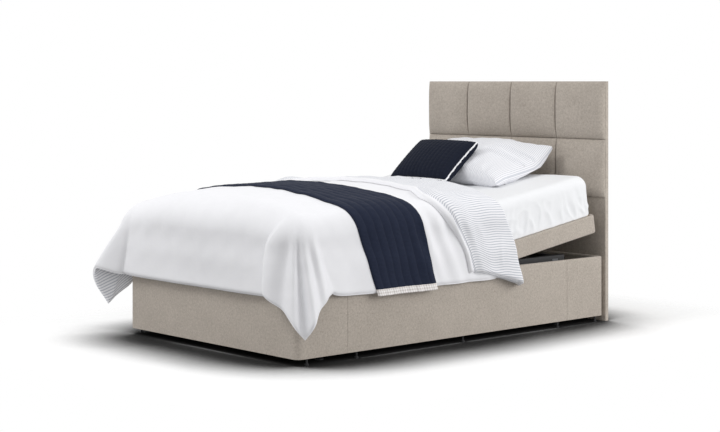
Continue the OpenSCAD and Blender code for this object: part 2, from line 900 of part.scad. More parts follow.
// Room under the foot end of the leg section, which dips when the section slopes.
module toe_cut() {
    slope = thigh_top_angle * leg_slope_share + fold_margin;
    run = wheel_from_foot + corner_radius;
    translate([-base_width, along(run), rail_bottom])
        rotate([90, 0, 90])
            linear_extrude(height = 2 * base_width)
                polygon([[0, 0], [-2 * run, 2 * run * tan(slope)], [-2 * run, -run], [0, -run]]);
}

module leg_rails() {
    color(fabric)
        difference() {
            union() {
                side_rails(foot_inset + corner_radius, knee_from_foot - fold_gap);
                for (side = [0, 1])
                    mirror([side, 0, 0])
                        translate([0, along(foot_inset), 0])
                            rail_corner();
            }
            fold_wedge(knee_from_foot, knee_cut, knee_cut, -1);
            toe_cut();
        }
}

module end_rail() {
    straight = half_width - corner_radius;
    translate([straight, 0, rail_bottom])
        rotate([90, 0, -90])
            linear_extrude(height = 2 * straight)
                mirror([1, 0, 0])
                    upright_profile(rail_thickness, rail_height, rail_rounding, true);
}

module foot_end_rail() {
    color(fabric)
        difference() {
            translate([0, along(foot_inset), 0])
                end_rail();
            toe_cut();
        }
}

module back_rails() {
    color(fabric)
        at_back_pose()
            difference() {
                union() {
                    side_rails(back_from_foot + fold_gap, back_end_from_foot - corner_radius);
                    for (side = [0, 1])
                        mirror([side, 0, 0])
                            translate([0, along(back_end_from_foot), 0])
                                mirror([0, 1, 0])
                                    rail_corner();
                }
                fold_wedge(back_from_foot, back_cut, back_cut, 1);
            }
}

module back_end_rail() {
    color(fabric)
        at_back_pose()
            translate([0, along(back_end_from_foot), 0])
                mirror([0, 1, 0])
                    end_rail();
}

// Whole mattress, lying flat, and the slices of it that lie on each platform part.
mattress_start = 16;
module mattress_profile() {
    w = mattress_width / 2;
    r = mattress_rounding;
    translate([0, r])
        square([w, mattress_thickness - 2 * r]);
    square([w - r, mattress_thickness]);
    for (at = [r, mattress_thickness - r])
        translate([w - r, at])
            circle(r = r);
}

module mattress_body() {
    c = mattress_corner;
    r = mattress_rounding;
    w = mattress_width / 2;
    straight = mattress_length - 2 * c;
    translate([0, along(mattress_start), deck_top + soft_gap]) {
        for (side = [0, 1])
            mirror([side, 0, 0])
                translate([0, c + straight, 0])
                    rotate([90, 0, 0])
                        linear_extrude(height = straight)
                            mattress_profile();
        for (side = [0, 1], end = [0, 1])
            mirror([side, 0, 0])
                translate([0, end * mattress_length, 0])
                    mirror([0, end, 0]) {
                        translate([w - c, c, 0])
                            rotate([0, 0, -90])
                                rotate_extrude(angle = 90) {
                                    translate([0, r])
                                        square([c, mattress_thickness - 2 * r]);
                                    square([c - r, mattress_thickness]);
                                    for (at = [r, mattress_thickness - r])
                                        translate([c - r, at])
                                            circle(r = r);
                                }
                        translate([0, c, 0])
                            rotate([90, 0, 90])
                                linear_extrude(height = w - c) {
                                    translate([-c, r])
                                        square([c, mattress_thickness - 2 * r]);
                                    translate([r - c, 0])
                                        square([c - r, mattress_thickness]);
                                    for (at = [r, mattress_thickness - r])
                                        translate([r - c, at])
                                            circle(r = r);
                                }
                    }
    }
}

// Slice between two hinges, its ends leaning by the given angles.
module slice(from_foot, from_angle, to_foot, to_angle) {
    reach = mattress_thickness * 1.5;
    base = mattress_width;
    translate([-base, 0, hinge_height])
        rotate([90, 0, 90])
            linear_extrude(height = 2 * base)
                polygon([
                    [along(from_foot) + soft_gap, 0],
                    [along(from_foot) + soft_gap + reach * tan(from_angle), reach],
                    [along(to_foot) - soft_gap - reach * tan(to_angle), reach],
                    [along(to_foot) - soft_gap, 0]]);
}

beyond = 200;
module mattress_seat() {
    color(pale)
        intersection() {
            mattress_body();
            slice(thigh_from_foot, thigh_cut, back_from_foot, seat_cut);
        }
}

module mattress_back() {
    color(pale)
        at_back_pose()
            intersection() {
                mattress_body();
                slice(back_from_foot, back_cut, back_end_from_foot + beyond, 0);
            }
}

module mattress_thigh() {
    color(pale)
        intersection() {
            mattress_body();
            slice(knee_from_foot, 0, thigh_from_foot, thigh_cut);
        }
}

module mattress_leg() {
    color(pale)
        intersection() {
            mattress_body();
            slice(-beyond, 0, knee_from_foot, 0);
        }
}

// Soft wedge that fills a fold of the mattress; it is squeezed when the fold closes.
module bend_wedge(from_foot, foot_angle, head_angle, height) {
    r = mattress_rounding;
    w = mattress_width / 2;
    low = hinge_depth + soft_gap;
    translate([0, along(from_foot), hinge_height])
        intersection() {
            rotate([90, 0, 90])
                translate([0, 0, -w])
                    linear_extrude(height = 2 * w)
                        polygon([
                            [soft_gap - low * tan(foot_angle), low],
                            [soft_gap - height * tan(foot_angle), height],
                            [height * tan(head_angle) - soft_gap, height],
                            [low * tan(head_angle) - soft_gap, low]]);
            translate([0, height, low])
                rotate([90, 0, 0])
                    linear_extrude(height = 2 * height) {
                        translate([-w, r])
                            square([2 * w, height - low - 2 * r]);
                        translate([r - w, 0])
                            square([2 * (w - r), height - low]);
                        for (side = [-1, 1], at = [r, height - low - r])
                            translate([side * (w - r), at])
                                circle(r = r);
                    }
        }
}

module mattress_thigh_bend() {
    color(pale)
        bend_wedge(thigh_from_foot, thigh_cut, thigh_cut, mattress_top - hinge_height);
}

module mattress_back_bend() {
    color(pale)
        bend_wedge(back_from_foot, seat_cut, back_cut - back_rest_angle,
            mattress_top - hinge_height - soft_gap);
}

// Push rods, drawn pushing along +y with the cross pin at the origin.
push_height = hinge_height - horn_depth;
back_pin_y = along(back_from_foot) + horn_depth * back_rest_angle / radian;
leg_pin_y = along(thigh_from_foot);
eye_radius = 12;
neck = 34;
rod_length = 230;
tube_mouth = 70;

module push_rod() {
    side_play = 1;
    eye_width = horn_gap - 2 * side_play;
    cross_length = horn_gap + 2 * horn_thickness + 8;
    translate([-eye_width / 2, 0, 0])
        rotate([0, 90, 0])
            cylinder(h = eye_width, r = eye_radius);
    translate([-cross_length / 2, 0, 0])
        rotate([0, 90, 0])
            cylinder(h = cross_length, r = cross_pin);
    translate([-eye_width / 2, -neck - overrun, -eye_width / 2])
        cube([eye_width, neck + overrun, eye_width]);
    translate([0, -neck, 0])
        rotate([90, 0, 0])
            cylinder(h = rod_length, r = rod_radius);
}

module back_push_rod() {
    color(steel)
        translate([actuator_offset, back_pin_y, push_height])
            push_rod();
}

module leg_push_rod() {
    color(steel)
        translate([-actuator_offset, leg_pin_y, push_height])
            mirror([0, 1, 0])
                push_rod();
}

// Drive unit: guide tube, gear housing with rounded corners, motor and rear tongue.
tongue = [12, 40, 26];
tongue_pin = 4;
module actuator() {
    clearance = running_clearance + 0.5;
    corner = 8;
    half = housing_side / 2;
    rotate([90, 0, 0])
        difference() {
            cylinder(h = rod_tube_length, r = rod_tube_radius);
            translate([0, 0, -overrun])
                cylinder(h = rod_tube_length - 10, r = rod_radius + clearance);
        }
    translate([0, -rod_tube_length, 0]) {
        rotate([90, 0, 0])
            linear_extrude(height = housing_length) {
                square([housing_side - 2 * corner, housing_side], center = true);
                square([housing_side, housing_side - 2 * corner], center = true);
                for (i = [-1, 1], j = [-1, 1])
                    translate([i * (half - corner), j * (half - corner)])
                        circle(r = corner);
            }
        translate([0, -housing_length + motor_radius + corner, -half - motor_radius / 2])
            rotate([-90, 0, 0])
                cylinder(h = motor_length, r = motor_radius);
        difference() {
            translate([-tongue[0] / 2, -housing_length - tongue[1], -tongue[2] / 2])
                cube([tongue[0], tongue[1], tongue[2]]);
            translate([-tongue[0], -housing_length - tongue[1] / 2, 0])
                rotate([0, 90, 0])
                    cylinder(h = 2 * tongue[0], r = tongue_pin + running_clearance);
        }
    }
}

back_drive_y = along(back_from_foot) - tube_mouth;
leg_drive_y = along(thigh_from_foot) + tube_mouth;
module back_actuator() {
    color(dark)
        translate([actuator_offset, back_drive_y, push_height])
            actuator();
}

module leg_actuator() {
    color(dark)
        translate([-actuator_offset, leg_drive_y, push_height])
            mirror([0, 1, 0])
                actuator();
}

// Hangers from the cross tubes to the tongues of the drive units.
module hanger(y, tongue_y, z) {
    thick = 5;
    wide = 34;
    top = chassis_top - chassis_height;
    for (side = [-1, 1])
        translate([side * (tongue[0] / 2 + thick / 2 + soft_gap) - thick / 2, min(y, tongue_y) - wide / 2, z - wide / 2])
            cube([thick, abs(tongue_y - y) + wide, top - z + wide / 2]);
    translate([-tongue[0] / 2 - thick - 2, tongue_y, z])
        rotate([0, 90, 0])
            cylinder(h = tongue[0] + 2 * thick + 4, r = tongue_pin);
}

module actuator_brackets() {
    back_tongue = back_drive_y - rod_tube_length - housing_length - tongue[1] / 2;
    leg_tongue = leg_drive_y + rod_tube_length + housing_length + tongue[1] / 2;
    color(steel) {
        translate([actuator_offset, 0, 0])
            hanger(along(cross_from_foot[1]), back_tongue, push_height);
        translate([-actuator_offset, 0, 0])
            hanger(along(cross_from_foot[2]), leg_tongue, push_height);
    }
}

// Control box under a cross tube, with a recessed mains inlet and its two pins.
module control_box() {
    corner = 6;
    pin = [1.2, 10, 6];
    top = chassis_top - chassis_height;
    color(dark)
        translate([0, along(cross_from_foot[2]), top - control_height])
            difference() {
                linear_extrude(height = control_height) {
                    square([control_length - 2 * corner, control_width], center = true);
                    square([control_length, control_width - 2 * corner], center = true);
                    for (i = [-1, 1], j = [-1, 1])
                        translate([i * (control_length / 2 - corner), j * (control_width / 2 - corner)])
                            circle(r = corner);
                }
                difference() {
                    translate([-inlet_size[0] / 2, control_width / 2 - inlet_size[2],
                        control_height / 2 - inlet_size[1] / 2])
                        cube([inlet_size[0], inlet_size[2] + overrun, inlet_size[1]]);
                    for (i = [-1, 1])
                        translate([i * inlet_size[0] / 4, control_width / 2 - inlet_size[2] - overrun,
                            control_height / 2])
                            rotate([-90, 0, 0])
                                cylinder(h = pin[1] + overrun, r = pin[0]);
                }
            }
}

// Closed sheet from two grids of points with the same number of rows and columns.
module sheet(upper, lower, columns, rows) {
    count = columns * rows;
    rim = concat(
        [for (i = [0:columns - 2]) i],
        [for (j = [0:rows - 2]) j * columns + columns - 1],
        [for (i = [0:columns - 2]) (rows - 1) * columns + columns - 1 - i],
        [for (j = [0:rows - 2]) (rows - 1 - j) * columns]);
    around = len(rim);
    polyhedron(
        points = concat(upper, lower),
        faces = concat(
            [for (j = [0:rows - 2], i = [0:columns - 2]) let (a = j * columns + i, b = a + columns) each
                i < (columns - 1) / 2
                    ? [[a, b + 1, a + 1], [a, b, b + 1]]
                    : [[a, b, a + 1], [a + 1, b, b + 1]]],
            [for (j = [0:rows - 2], i = [0:columns - 2]) let (a = count + j * columns + i, b = a + columns) each
                i < (columns - 1) / 2
                    ? [[a, a + 1, b + 1], [a, b + 1, b]]
                    : [[a, a + 1, b], [a + 1, b + 1, b]]],
            [for (k = [0:around - 1]) let (a = rim[k], b = rim[(k + 1) % around]) each [
                [a, b, count + b],
                [a, count + b, count + a]]]));
}

// Hanging cloth over the mattress edges. A point of the cloth is given by its distance from the foot
// edge and from the side edge of the top (negative beyond the edge), and by its height above the bed.
turn_length = duvet_turn * PI / 2;
top_half = half_width + soft_gap - duvet_turn;
foot_edge = duvet_turn - soft_gap;
hang_length = turn_length + mattress_top + soft_gap - duvet_turn - duvet_hem;
spread_length = 150;

function turn_out(e) = e < turn_length ? duvet_turn * sin(e / duvet_turn * radian) : duvet_turn;
function turn_down(e) = e < turn_length
    ? duvet_turn * (1 - cos(e / duvet_turn * radian))
    : duvet_turn + e - turn_length;
function smooth(t) = let (c = min(1, max(0, t))) c * c * (3 - 2 * c);
function hang_share(e) = smooth((e - turn_length) / (hang_length - turn_length));
function side_fold(q, e) = fold_depth * hang_share(e) * (1 - cos(q / fold_pitch * 360)) / 2;
function corner_fold(t, e, side) =
    let (depth = side > 0 ? near_corner_fold : far_corner_fold,
         curl = smooth((e - hang_length) / (hang_length * (sqrt(2) - 1))))
    depth * hang_share(e) * pow(sin(t * 180), 1.4) * (1 - curl_share * curl);

curl_share = 0.45;
// Plan place of a point that has left the top by e at the perimeter place q, with out as its offset.
corner_blend = 70;
function around_corner(q, out) =
    let (turn = 90 * smooth((q + corner_blend) / (2 * corner_blend)),
         reach = out / max(cos(turn), sin(turn)))
    [top_half - max(-q, 0) + reach * sin(turn),
     foot_edge + max(q, 0) - reach * cos(turn)];

function cloth(a, b, out, lift) =
    let (side = b < 0 ? -1 : 1,
         cb = top_half - abs(b),
         ca = a - foot_edge,
         e = norm([min(cb, 0), min(ca, 0)]),
         t = cb < 0 && ca < 0 ? atan2(-cb, -ca) / 90 : cb < 0 ? 1 : 0,
         q = cb < 0 && ca < 0
             ? e * (-foot_spread_share + t * (foot_spread_share + side_spread_share))
             : cb < 0 ? ca + side_spread_share * e * exp(-ca / spread_length)
                      : -cb - foot_spread_share * e * exp(-cb / spread_length),
         fold = cb < 0 && ca < 0 ? corner_fold(t, e, side) : side_fold(q, e))
    e == 0
        ? [b, along(a), mattress_top + soft_gap + lift]
        : let (place = around_corner(q, turn_out(e) + (out + fold) * min(1, e / turn_length)))
          [side * place[0], along(0) + place[1],
           mattress_top + soft_gap - turn_down(e) + lift * max(0, 1 - e / turn_length)];

// Even steps that put more grid lines on the parts beyond the edges.
function steps(from, to, count) = [for (k = [0:count - 1]) from + (to - from) * k / (count - 1)];
function hang_lines() = [for (share = hang_shares) hang_length * share];
function across_lines(top_lines) = concat(
    [for (k = [len(hang_shares) - 1:-1:0]) -top_half - hang_length * hang_shares[k]],
    steps(-top_half, top_half, top_lines),
    [for (share = hang_shares) top_half + hang_length * share]);
crosswise = across_lines(top_lines);
columns = len(crosswise);

module duvet_foot() {
    lengthwise = concat(
        [for (k = [len(hang_shares) - 1:-1:0]) foot_edge - hang_length * hang_shares[k]],
        steps(foot_edge, duvet_split - soft_gap, duvet_lines));
    color(pale)
        sheet(
            [for (a = lengthwise, b = crosswise) cloth(a, b, duvet_hanging, duvet_thickness)],
            [for (a = lengthwise, b = crosswise) cloth(a, b, soft_gap, soft_gap)],
            columns, len(lengthwise));
}

module duvet_middle() {
    rows = 8;
    function place(k, b) = duvet_split
        + (duvet_end + turndown_slant * drop_at(b) - duvet_split) * k / (rows - 1);
    color(pale)
        sheet(
            [for (k = [0:rows - 1], b = crosswise)
                cloth(place(k, b), b, duvet_hanging, duvet_thickness)],
            [for (k = [0:rows - 1], b = crosswise)
                cloth(place(k, b), b, soft_gap, soft_gap)],
            columns, rows);
}

throw_steps = 3;
module throw() {
    lines = throw_channels * throw_steps + 1;
    over = duvet_hanging + throw_gap;
    above = duvet_thickness + throw_gap;
    function ridge(k) = channel_depth * (pow(abs(sin(k / throw_steps * 180)), 0.6) - 1);
    function place(k, b) = throw_from_foot + throw_width * k / (lines - 1)
        - throw_skew * b + throw_slant * drop_at(b);
    color(navy)
        sheet(
            [for (k = [0:lines - 1], b = crosswise)
                cloth(place(k, b), b, over + throw_thickness + ridge(k),
                    above + throw_thickness + ridge(k))],
            [for (k = [0:lines - 1], b = crosswise)
                cloth(place(k, b), b, over, above)],
            columns, lines);
}

// Folded-back head end of the duvet: flat on the top, slanting towards the head as it hangs.
kink_from_foot = back_from_foot - (mattress_top - hinge_height) * tan(back_rest_angle / 2);
function slope_rise(a) = max(0, a - kink_from_foot) * tan(back_rest_angle);
// Step down from the duvet to the mattress under it: its start, foot and end beyond the duvet's end.
step_runs = [12, 38, 64];
step_length = 30;
function step_up(a) = smooth((duvet_end + step_runs[1] - a) / step_length);
function drop_at(b) = turn_down(max(0, abs(b) - top_half));
module duvet_turndown() {
    lengthwise = concat(
        steps(turndown_from_foot, duvet_end, 6),
        steps(duvet_end + step_runs[0], duvet_end + step_runs[1], 4),
        steps(duvet_end + step_runs[2], crease_from_foot, 6));
    count = len(lengthwise);
    function slanted(a, b, out, lift) = cloth(a + turndown_slant * drop_at(b), b, out, lift);
    function roll(k) = pow(max(0, 1 - pow((2 * k / (count - 1) - 1), 8)), 0.5);
    function over(k) = crease_roll * smooth((lengthwise[k] - duvet_end) / (crease_from_foot - duvet_end));
    function under(a) = throw_gap + duvet_hanging * step_up(a);
    function below(a) = throw_gap + duvet_thickness * step_up(a) + slope_rise(a);
    color(pale)
        sheet(
            [for (k = [0:count - 1], b = crosswise)
                let (a = lengthwise[k],
                     full = turndown_thickness * (0.25 + 0.75 * roll(k)) + over(k) * roll(k))
                slanted(a, b, under(a) + full * 0.7, below(a) + full)],
            [for (k = [0:count - 1], b = crosswise)
                slanted(lengthwise[k], b, under(lengthwise[k]), below(lengthwise[k]))],
            columns, count);
}

// Filled cushion: crowned, with drawn-in sides, corners that stand out and optional channels.
function ease(t) = sin(t * 90);
corner_pull = 0.93;
edge_share = 0.07;
module filled(size, channels, depth) {
    columns = pillow_lines[0];
    rows = pillow_lines[1];
    function u(i) = ease(2 * i / (columns - 1) - 1);
    function v(j) = ease(2 * j / (rows - 1) - 1);
    function plan(i, j) = [
        u(i) * size[0] / 2 * (corner_pull + (1 - corner_pull) * pow(v(j), 2)),
        v(j) * size[1] / 2 * (corner_pull + (1 - corner_pull) * pow(u(i), 2))];
    function swell(i, j) = edge_share + (1 - edge_share)
        * pow(max(0, (1 - pow(u(i), 2)) * (1 - pow(v(j), 2))), 0.4);
    function groove(i) = channels == 0 ? 0 : depth * (1 - pow(abs(sin(u(i) * channels * 90 + channels % 2 * 90)), 0.5));
    function half(i, j) = size[2] / 2 * swell(i, j)
        - min(groove(i), size[2] / 2 * (swell(i, j) - edge_share / 2));
    sheet(
        [for (j = [0:rows - 1], i = [0:columns - 1]) concat(plan(i, j), half(i, j))],
        [for (j = [0:rows - 1], i = [0:columns - 1]) concat(plan(i, j), -half(i, j))],
        columns, rows);
}

module rested(place, slope) {
    at_back_pose()
        translate([place[0], along(place[1]), deck_top + place[2]])
            rotate([slope, 0, 0])
                children();
}

module pillow() {
    color(pale)
        rested(pillow_place, pillow_slope)
            filled(pillow_size, 0, 0);
}

module cushion() {
    color(navy)
        rested(cushion_place, cushion_slope)
            filled(cushion_size, cushion_channels, cushion_channel);
}

surround_foot();
surround_side(0);  // surround_side_near
surround_side(1);  // surround_side_far
surround_head();
surround_brackets();
surround_glides();
headboard_panel();
headboard_pads_upper();
headboard_pads_lower();
headboard_bolts();
chassis_side_tubes();
chassis_cross_tubes();
chassis_legs();
chassis_feet();
side_plates();
seat_frame();
hinge_pins();
seat_board();
seat_rails();
mattress_seat();
back_actuator();
leg_actuator();
actuator_brackets();
control_box();
back_frame();
back_board();
back_rails();
back_end_rail();
mattress_back();
mattress_back_bend();
pillow();
cushion();
duvet_turndown();
thigh_frame();
thigh_board();
thigh_rails();
knee_pins();
mattress_thigh();
mattress_thigh_bend();
duvet_middle();
throw();
leg_frame();
leg_board();
leg_rails();
foot_end_rail();
mattress_leg();
duvet_foot();
leg_wheels();
back_push_rod();
leg_push_rod();
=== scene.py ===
import bpy, json, math
import numpy as np
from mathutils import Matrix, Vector


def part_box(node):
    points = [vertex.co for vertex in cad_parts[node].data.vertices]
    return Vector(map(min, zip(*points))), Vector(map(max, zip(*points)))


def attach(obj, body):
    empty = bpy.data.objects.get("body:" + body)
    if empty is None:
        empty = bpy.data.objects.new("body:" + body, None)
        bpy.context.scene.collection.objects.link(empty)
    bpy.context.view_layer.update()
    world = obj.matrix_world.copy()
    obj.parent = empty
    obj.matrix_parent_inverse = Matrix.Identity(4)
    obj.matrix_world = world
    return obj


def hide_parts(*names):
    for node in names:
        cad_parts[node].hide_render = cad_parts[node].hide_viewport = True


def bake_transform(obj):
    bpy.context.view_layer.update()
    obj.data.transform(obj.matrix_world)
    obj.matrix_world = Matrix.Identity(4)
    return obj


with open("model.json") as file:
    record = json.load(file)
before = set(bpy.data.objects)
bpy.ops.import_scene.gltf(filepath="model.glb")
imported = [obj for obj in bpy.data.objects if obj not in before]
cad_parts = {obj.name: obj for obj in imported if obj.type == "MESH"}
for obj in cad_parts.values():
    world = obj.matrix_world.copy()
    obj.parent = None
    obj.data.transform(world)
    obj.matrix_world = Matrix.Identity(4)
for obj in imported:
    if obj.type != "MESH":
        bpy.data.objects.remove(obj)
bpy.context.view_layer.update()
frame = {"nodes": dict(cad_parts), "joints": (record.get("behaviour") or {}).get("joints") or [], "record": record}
nodes = frame["nodes"]
print("frame loaded:", len(nodes), "nodes")

# Camera first: two-point perspective, at the photograph's angle.
view = {
    "place": (5.836, -6.362, 1.192),
    "turn": 48.02,          # degrees about Z
    "lens": 81.27,          # mm on a 36 mm sensor
    "sensor": 36,
    "horizonShift": -0.186,
}
cameraData = bpy.data.cameras.new("viewCamera")
cameraData.sensor_width = view["sensor"]
cameraData.lens = view["lens"]
cameraData.shift_y = view["horizonShift"]
camera = bpy.data.objects.new("viewCamera", cameraData)
camera.location = view["place"]
camera.rotation_euler = (math.radians(90), 0, math.radians(view["turn"]))
bpy.context.scene.collection.objects.link(camera)
bpy.context.scene.camera = camera

# Driving sizes, read from the frame. Distances along the bed are counted from the foot face.
seatLow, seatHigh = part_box("mattress_seat")
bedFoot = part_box("surround_foot")[0].y
halfWidth = seatHigh.x
mattressTop = seatHigh.z
deckTop = seatLow.z
hinges = {joint["name"]: joint.get("pos_m") for joint in frame["joints"]}
backHinge, thighHinge, kneeHinge = hinges["back_tilt"], hinges["thigh_tilt"], hinges["leg_tilt"]
restAngle = math.radians(9)   # how far the back section is raised at rest


def along(fromFoot):
    # Place on the Y axis: the foot face plus the distance from it.
    return bedFoot + fromFoot


def smooth(t):
    # Three t squared minus two t cubed, held at 0 and 1 outside its span.
    c = np.clip(t, 0, 1)
    return c * c * (3 - 2 * c)


def bell(t):
    # Bell curve: the exponential of minus t squared.
    return np.exp(-t ** 2)


def waves(u, v, pitch, seed, count=9):
    # Sum of sines in seeded directions and phases round one pitch, from about -1 to 1.
    rng = np.random.default_rng(seed)
    shortest, longest = 0.6, 1.7
    total = 0
    for k in range(count):
        angle, phase = rng.uniform(0, 2 * math.pi, 2)
        scale = 2 * math.pi / (pitch * rng.uniform(shortest, longest))
        total = total + np.sin(scale * (u * math.cos(angle) + v * math.sin(angle)) + phase)
    return total / math.sqrt(count)


def bumps(u, v, height, pitch, seed):
    # The same waves times a height.
    return height * waves(u, v, pitch, seed)


def ridges(u, v, pitch, seed, sharp=2.0):
    # Narrow creases: one minus the distance of a wave from zero, raised to a power.
    return np.clip(1 - np.abs(waves(u, v, pitch, seed)), 0, 1) ** sharp


# Mesh helpers: every new piece is a grid of points, joined into quads.
def gridQuads(rows, columns, start=0, flip=False, closeColumns=False):
    # Each quad joins a point, the next one in its row, and the two after them in the next row.
    r = np.arange(rows - 1)[:, None]
    c = np.arange(columns if closeColumns else columns - 1)[None, :]
    a = start + r * columns + c
    b = start + r * columns + (c + 1) % columns
    quads = np.stack([a, b, b + columns, a + columns], -1).reshape(-1, 4)
    return quads[:, ::-1] if flip else quads


def sheetQuads(rows, columns, start=0):
    # Quads of two equal grids that follow each other, and of the rim that joins their borders.
    count = rows * columns
    edge = start + np.concatenate([
        np.arange(columns - 1),
        np.arange(rows - 1) * columns + columns - 1,
        (rows - 1) * columns + np.arange(columns - 1, 0, -1),
        np.arange(rows - 1, 0, -1) * columns])
    after = np.roll(edge, -1)
    rim = np.stack([after, edge, edge + count, after + count], -1)
    return [gridQuads(rows, columns, start), gridQuads(rows, columns, start + count, flip=True), rim]


def meshFrom(name, points, quads, uv=None, kinds=None):
    # Object from points, quads, a flat map for each point and a material number for each quad.
    points = np.asarray(points, np.float32).reshape(-1, 3)
    quads = np.asarray(quads, np.int32)
    mesh = bpy.data.meshes.new(name)
    mesh.vertices.add(len(points))
    mesh.vertices.foreach_set("co", points.ravel())
    mesh.loops.add(quads.size)
    mesh.loops.foreach_set("vertex_index", quads.ravel())
    mesh.polygons.add(len(quads))
    mesh.polygons.foreach_set("loop_start", np.arange(0, quads.size, 4, dtype=np.int32))
    mesh.polygons.foreach_set("use_smooth", np.ones(len(quads), bool))
    if kinds is not None:
        mesh.polygons.foreach_set("material_index", np.asarray(kinds, np.int32))
    if uv is not None:
        layer = mesh.uv_layers.new(name="cloth")
        layer.data.foreach_set("uv", np.asarray(uv, np.float32).reshape(-1, 2)[quads.ravel()].ravel())
    mesh.update()
    mesh.validate()
    piece = bpy.data.objects.new(name, mesh)
    bpy.context.scene.collection.objects.link(piece)
    return piece


def closedSheet(name, upper, lower, uv, lined=True, flatRim=False):
    # Two grids of points joined by a rim. Where it is lined, the lower grid gets the second material.
    top, bottom, rim = sheetQuads(*upper.shape[:2])
    kinds = np.concatenate([np.zeros(len(top)), np.ones(len(bottom)), np.zeros(len(rim))])
    points = np.concatenate([upper.reshape(-1, 3), lower.reshape(-1, 3)])
    uvs = np.concatenate([uv.reshape(-1, 2), uv.reshape(-1, 2)])
    made = meshFrom(name, points, np.concatenate([top, bottom, rim]), uvs, kinds if lined else None)
    if flatRim:
        made.data.polygons.foreach_set("use_smooth", np.arange(len(kinds)) < len(top) + len(bottom))
    return made


# The form that all bed cloth follows.
drape = {
    "turn": 0.075,           # radius over the mattress edge, on the cloth's inner side
    "gap": 0.004,            # cloth to mattress
    "outside": 0.024,        # how far the hanging cloth stands out from the mattress
    "hem": 0.272,            # height of the hems above the floor
    "cornerSag": 0.020,      # how far the two foot corners sink, how far round them, and the well's power
    "cornerReach": 0.34,
    "cornerPower": 1.5,
    "spreadLength": 0.17,    # how soon a corner's spread dies out along its edge
    "swing": 1.35,           # power of a corner's way outwards
    "earlySwing": 3.5,       # what leaving the edge early adds to it
    "lateSwing": 2.2,        # the power where it leaves late
    "leanMost": 0.95,        # most that cloth may lean, where 1 is level
    "foldPitch": 0.235,      # folds along the edges: their pitch, and how far it sways
    "foldSway": 0.22,
    "swayTurns": 5.1,
    "swayStart": 1.3,
    "sideFold": 0.011,       # depth of the folds at the sides and at the foot
    "footFold": 0.004,
    "billow": 0.006,         # swell half way down
    # Where the hem runs round a corner, seen from above: share of the quarter turn from foot to
    # side, then how far out beyond the side edge and beyond the foot edge of the mattress top,
    # and how late the cloth leaves the edge on its way down, from -1, at once, to 1.
    "near": [(0, -0.066, 0.078, -1), (0.025, -0.072, 0.112, -1), (0.08, -0.056, 0.134, -0.8),
             (0.17, -0.022, 0.134, -0.4), (0.27, 0.022, 0.120, 0), (0.38, 0.070, 0.106, 0.3),
             (0.46, 0.102, 0.088, 0.6), (0.505, 0.108, 0.054, 1), (0.535, 0.140, 0.054, 0.9),
             (0.57, 0.158, 0.048, 0.5), (0.63, 0.152, 0.028, 0.25), (0.71, 0.136, -0.002, 0.15),
             (0.82, 0.118, -0.038, 0.15), (0.93, 0.100, -0.076, 0.3), (1, 0.088, -0.100, 0.4)],
    "far": [(0, 0.066, 0.094, 0.3), (0.05, 0.072, 0.114, 0.3), (0.13, 0.118, 0.154, 0.25),
            (0.24, 0.172, 0.188, 0.2), (0.32, 0.192, 0.190, 0.2), (0.40, 0.188, 0.160, 0.3),
            (0.5, 0.170, 0.112, 0.5), (0.6, 0.138, 0.068, 0.7), (0.8, 0.108, 0.0, 0.8),
            (1, 0.090, -0.06, 0.8)],
}
turnLength = drape["turn"] * math.pi / 2
topHalf = halfWidth + drape["outside"] - drape["turn"]
footEdge = drape["turn"] - drape["gap"]
hangLength = turnLength + mattressTop - drape["turn"] - drape["hem"]
kink = backHinge[1] - bedFoot - (mattressTop - backHinge[2]) * math.tan(restAngle / 2)


def slopeRise(a):
    # Rise of the raised back section: the distance past the kink times the slope.
    return np.maximum(0, a - kink) * math.tan(restAngle)


def turnDown(e):
    # Drop of cloth that lies e past the edge: along the arc of the turn, then straight down.
    onArc = drape["turn"] * (1 - np.cos(e / drape["turn"]))
    return np.where(e < turnLength, onArc, drape["turn"] + e - turnLength)


def hangShare(e):
    # Smooth share from 0 below the turned edge to 1 at the hem.
    return smooth((e - turnLength) / (hangLength - turnLength))


def pastEdge(a, b):
    # Flat distance past the edges of the mattress top, 0 on it and the diagonal distance at a corner.
    return np.hypot(np.minimum(topHalf - np.abs(b), 0), np.minimum(a - footEdge, 0))


def throughPlaces(table, t, column):
    # Smooth curve through listed places: cubic pieces with averaged slopes at the places.
    at = np.array([row[0] for row in table])
    value = np.array([row[column] for row in table])
    step, slope = np.diff(at), np.diff(value) / np.diff(at)
    inner = (slope[:-1] * step[1:] + slope[1:] * step[:-1]) / (step[1:] + step[:-1])
    bend = np.concatenate([slope[:1], inner, slope[-1:]])
    k = np.clip(np.searchsorted(at, t) - 1, 0, len(at) - 2)
    u = (t - at[k]) / step[k]
    return ((2 * u ** 3 - 3 * u ** 2 + 1) * value[k] + (u ** 3 - 2 * u ** 2 + u) * step[k] * bend[k]
            + (3 * u ** 2 - 2 * u ** 3) * value[k + 1] + (u ** 3 - u ** 2) * step[k] * bend[k + 1])


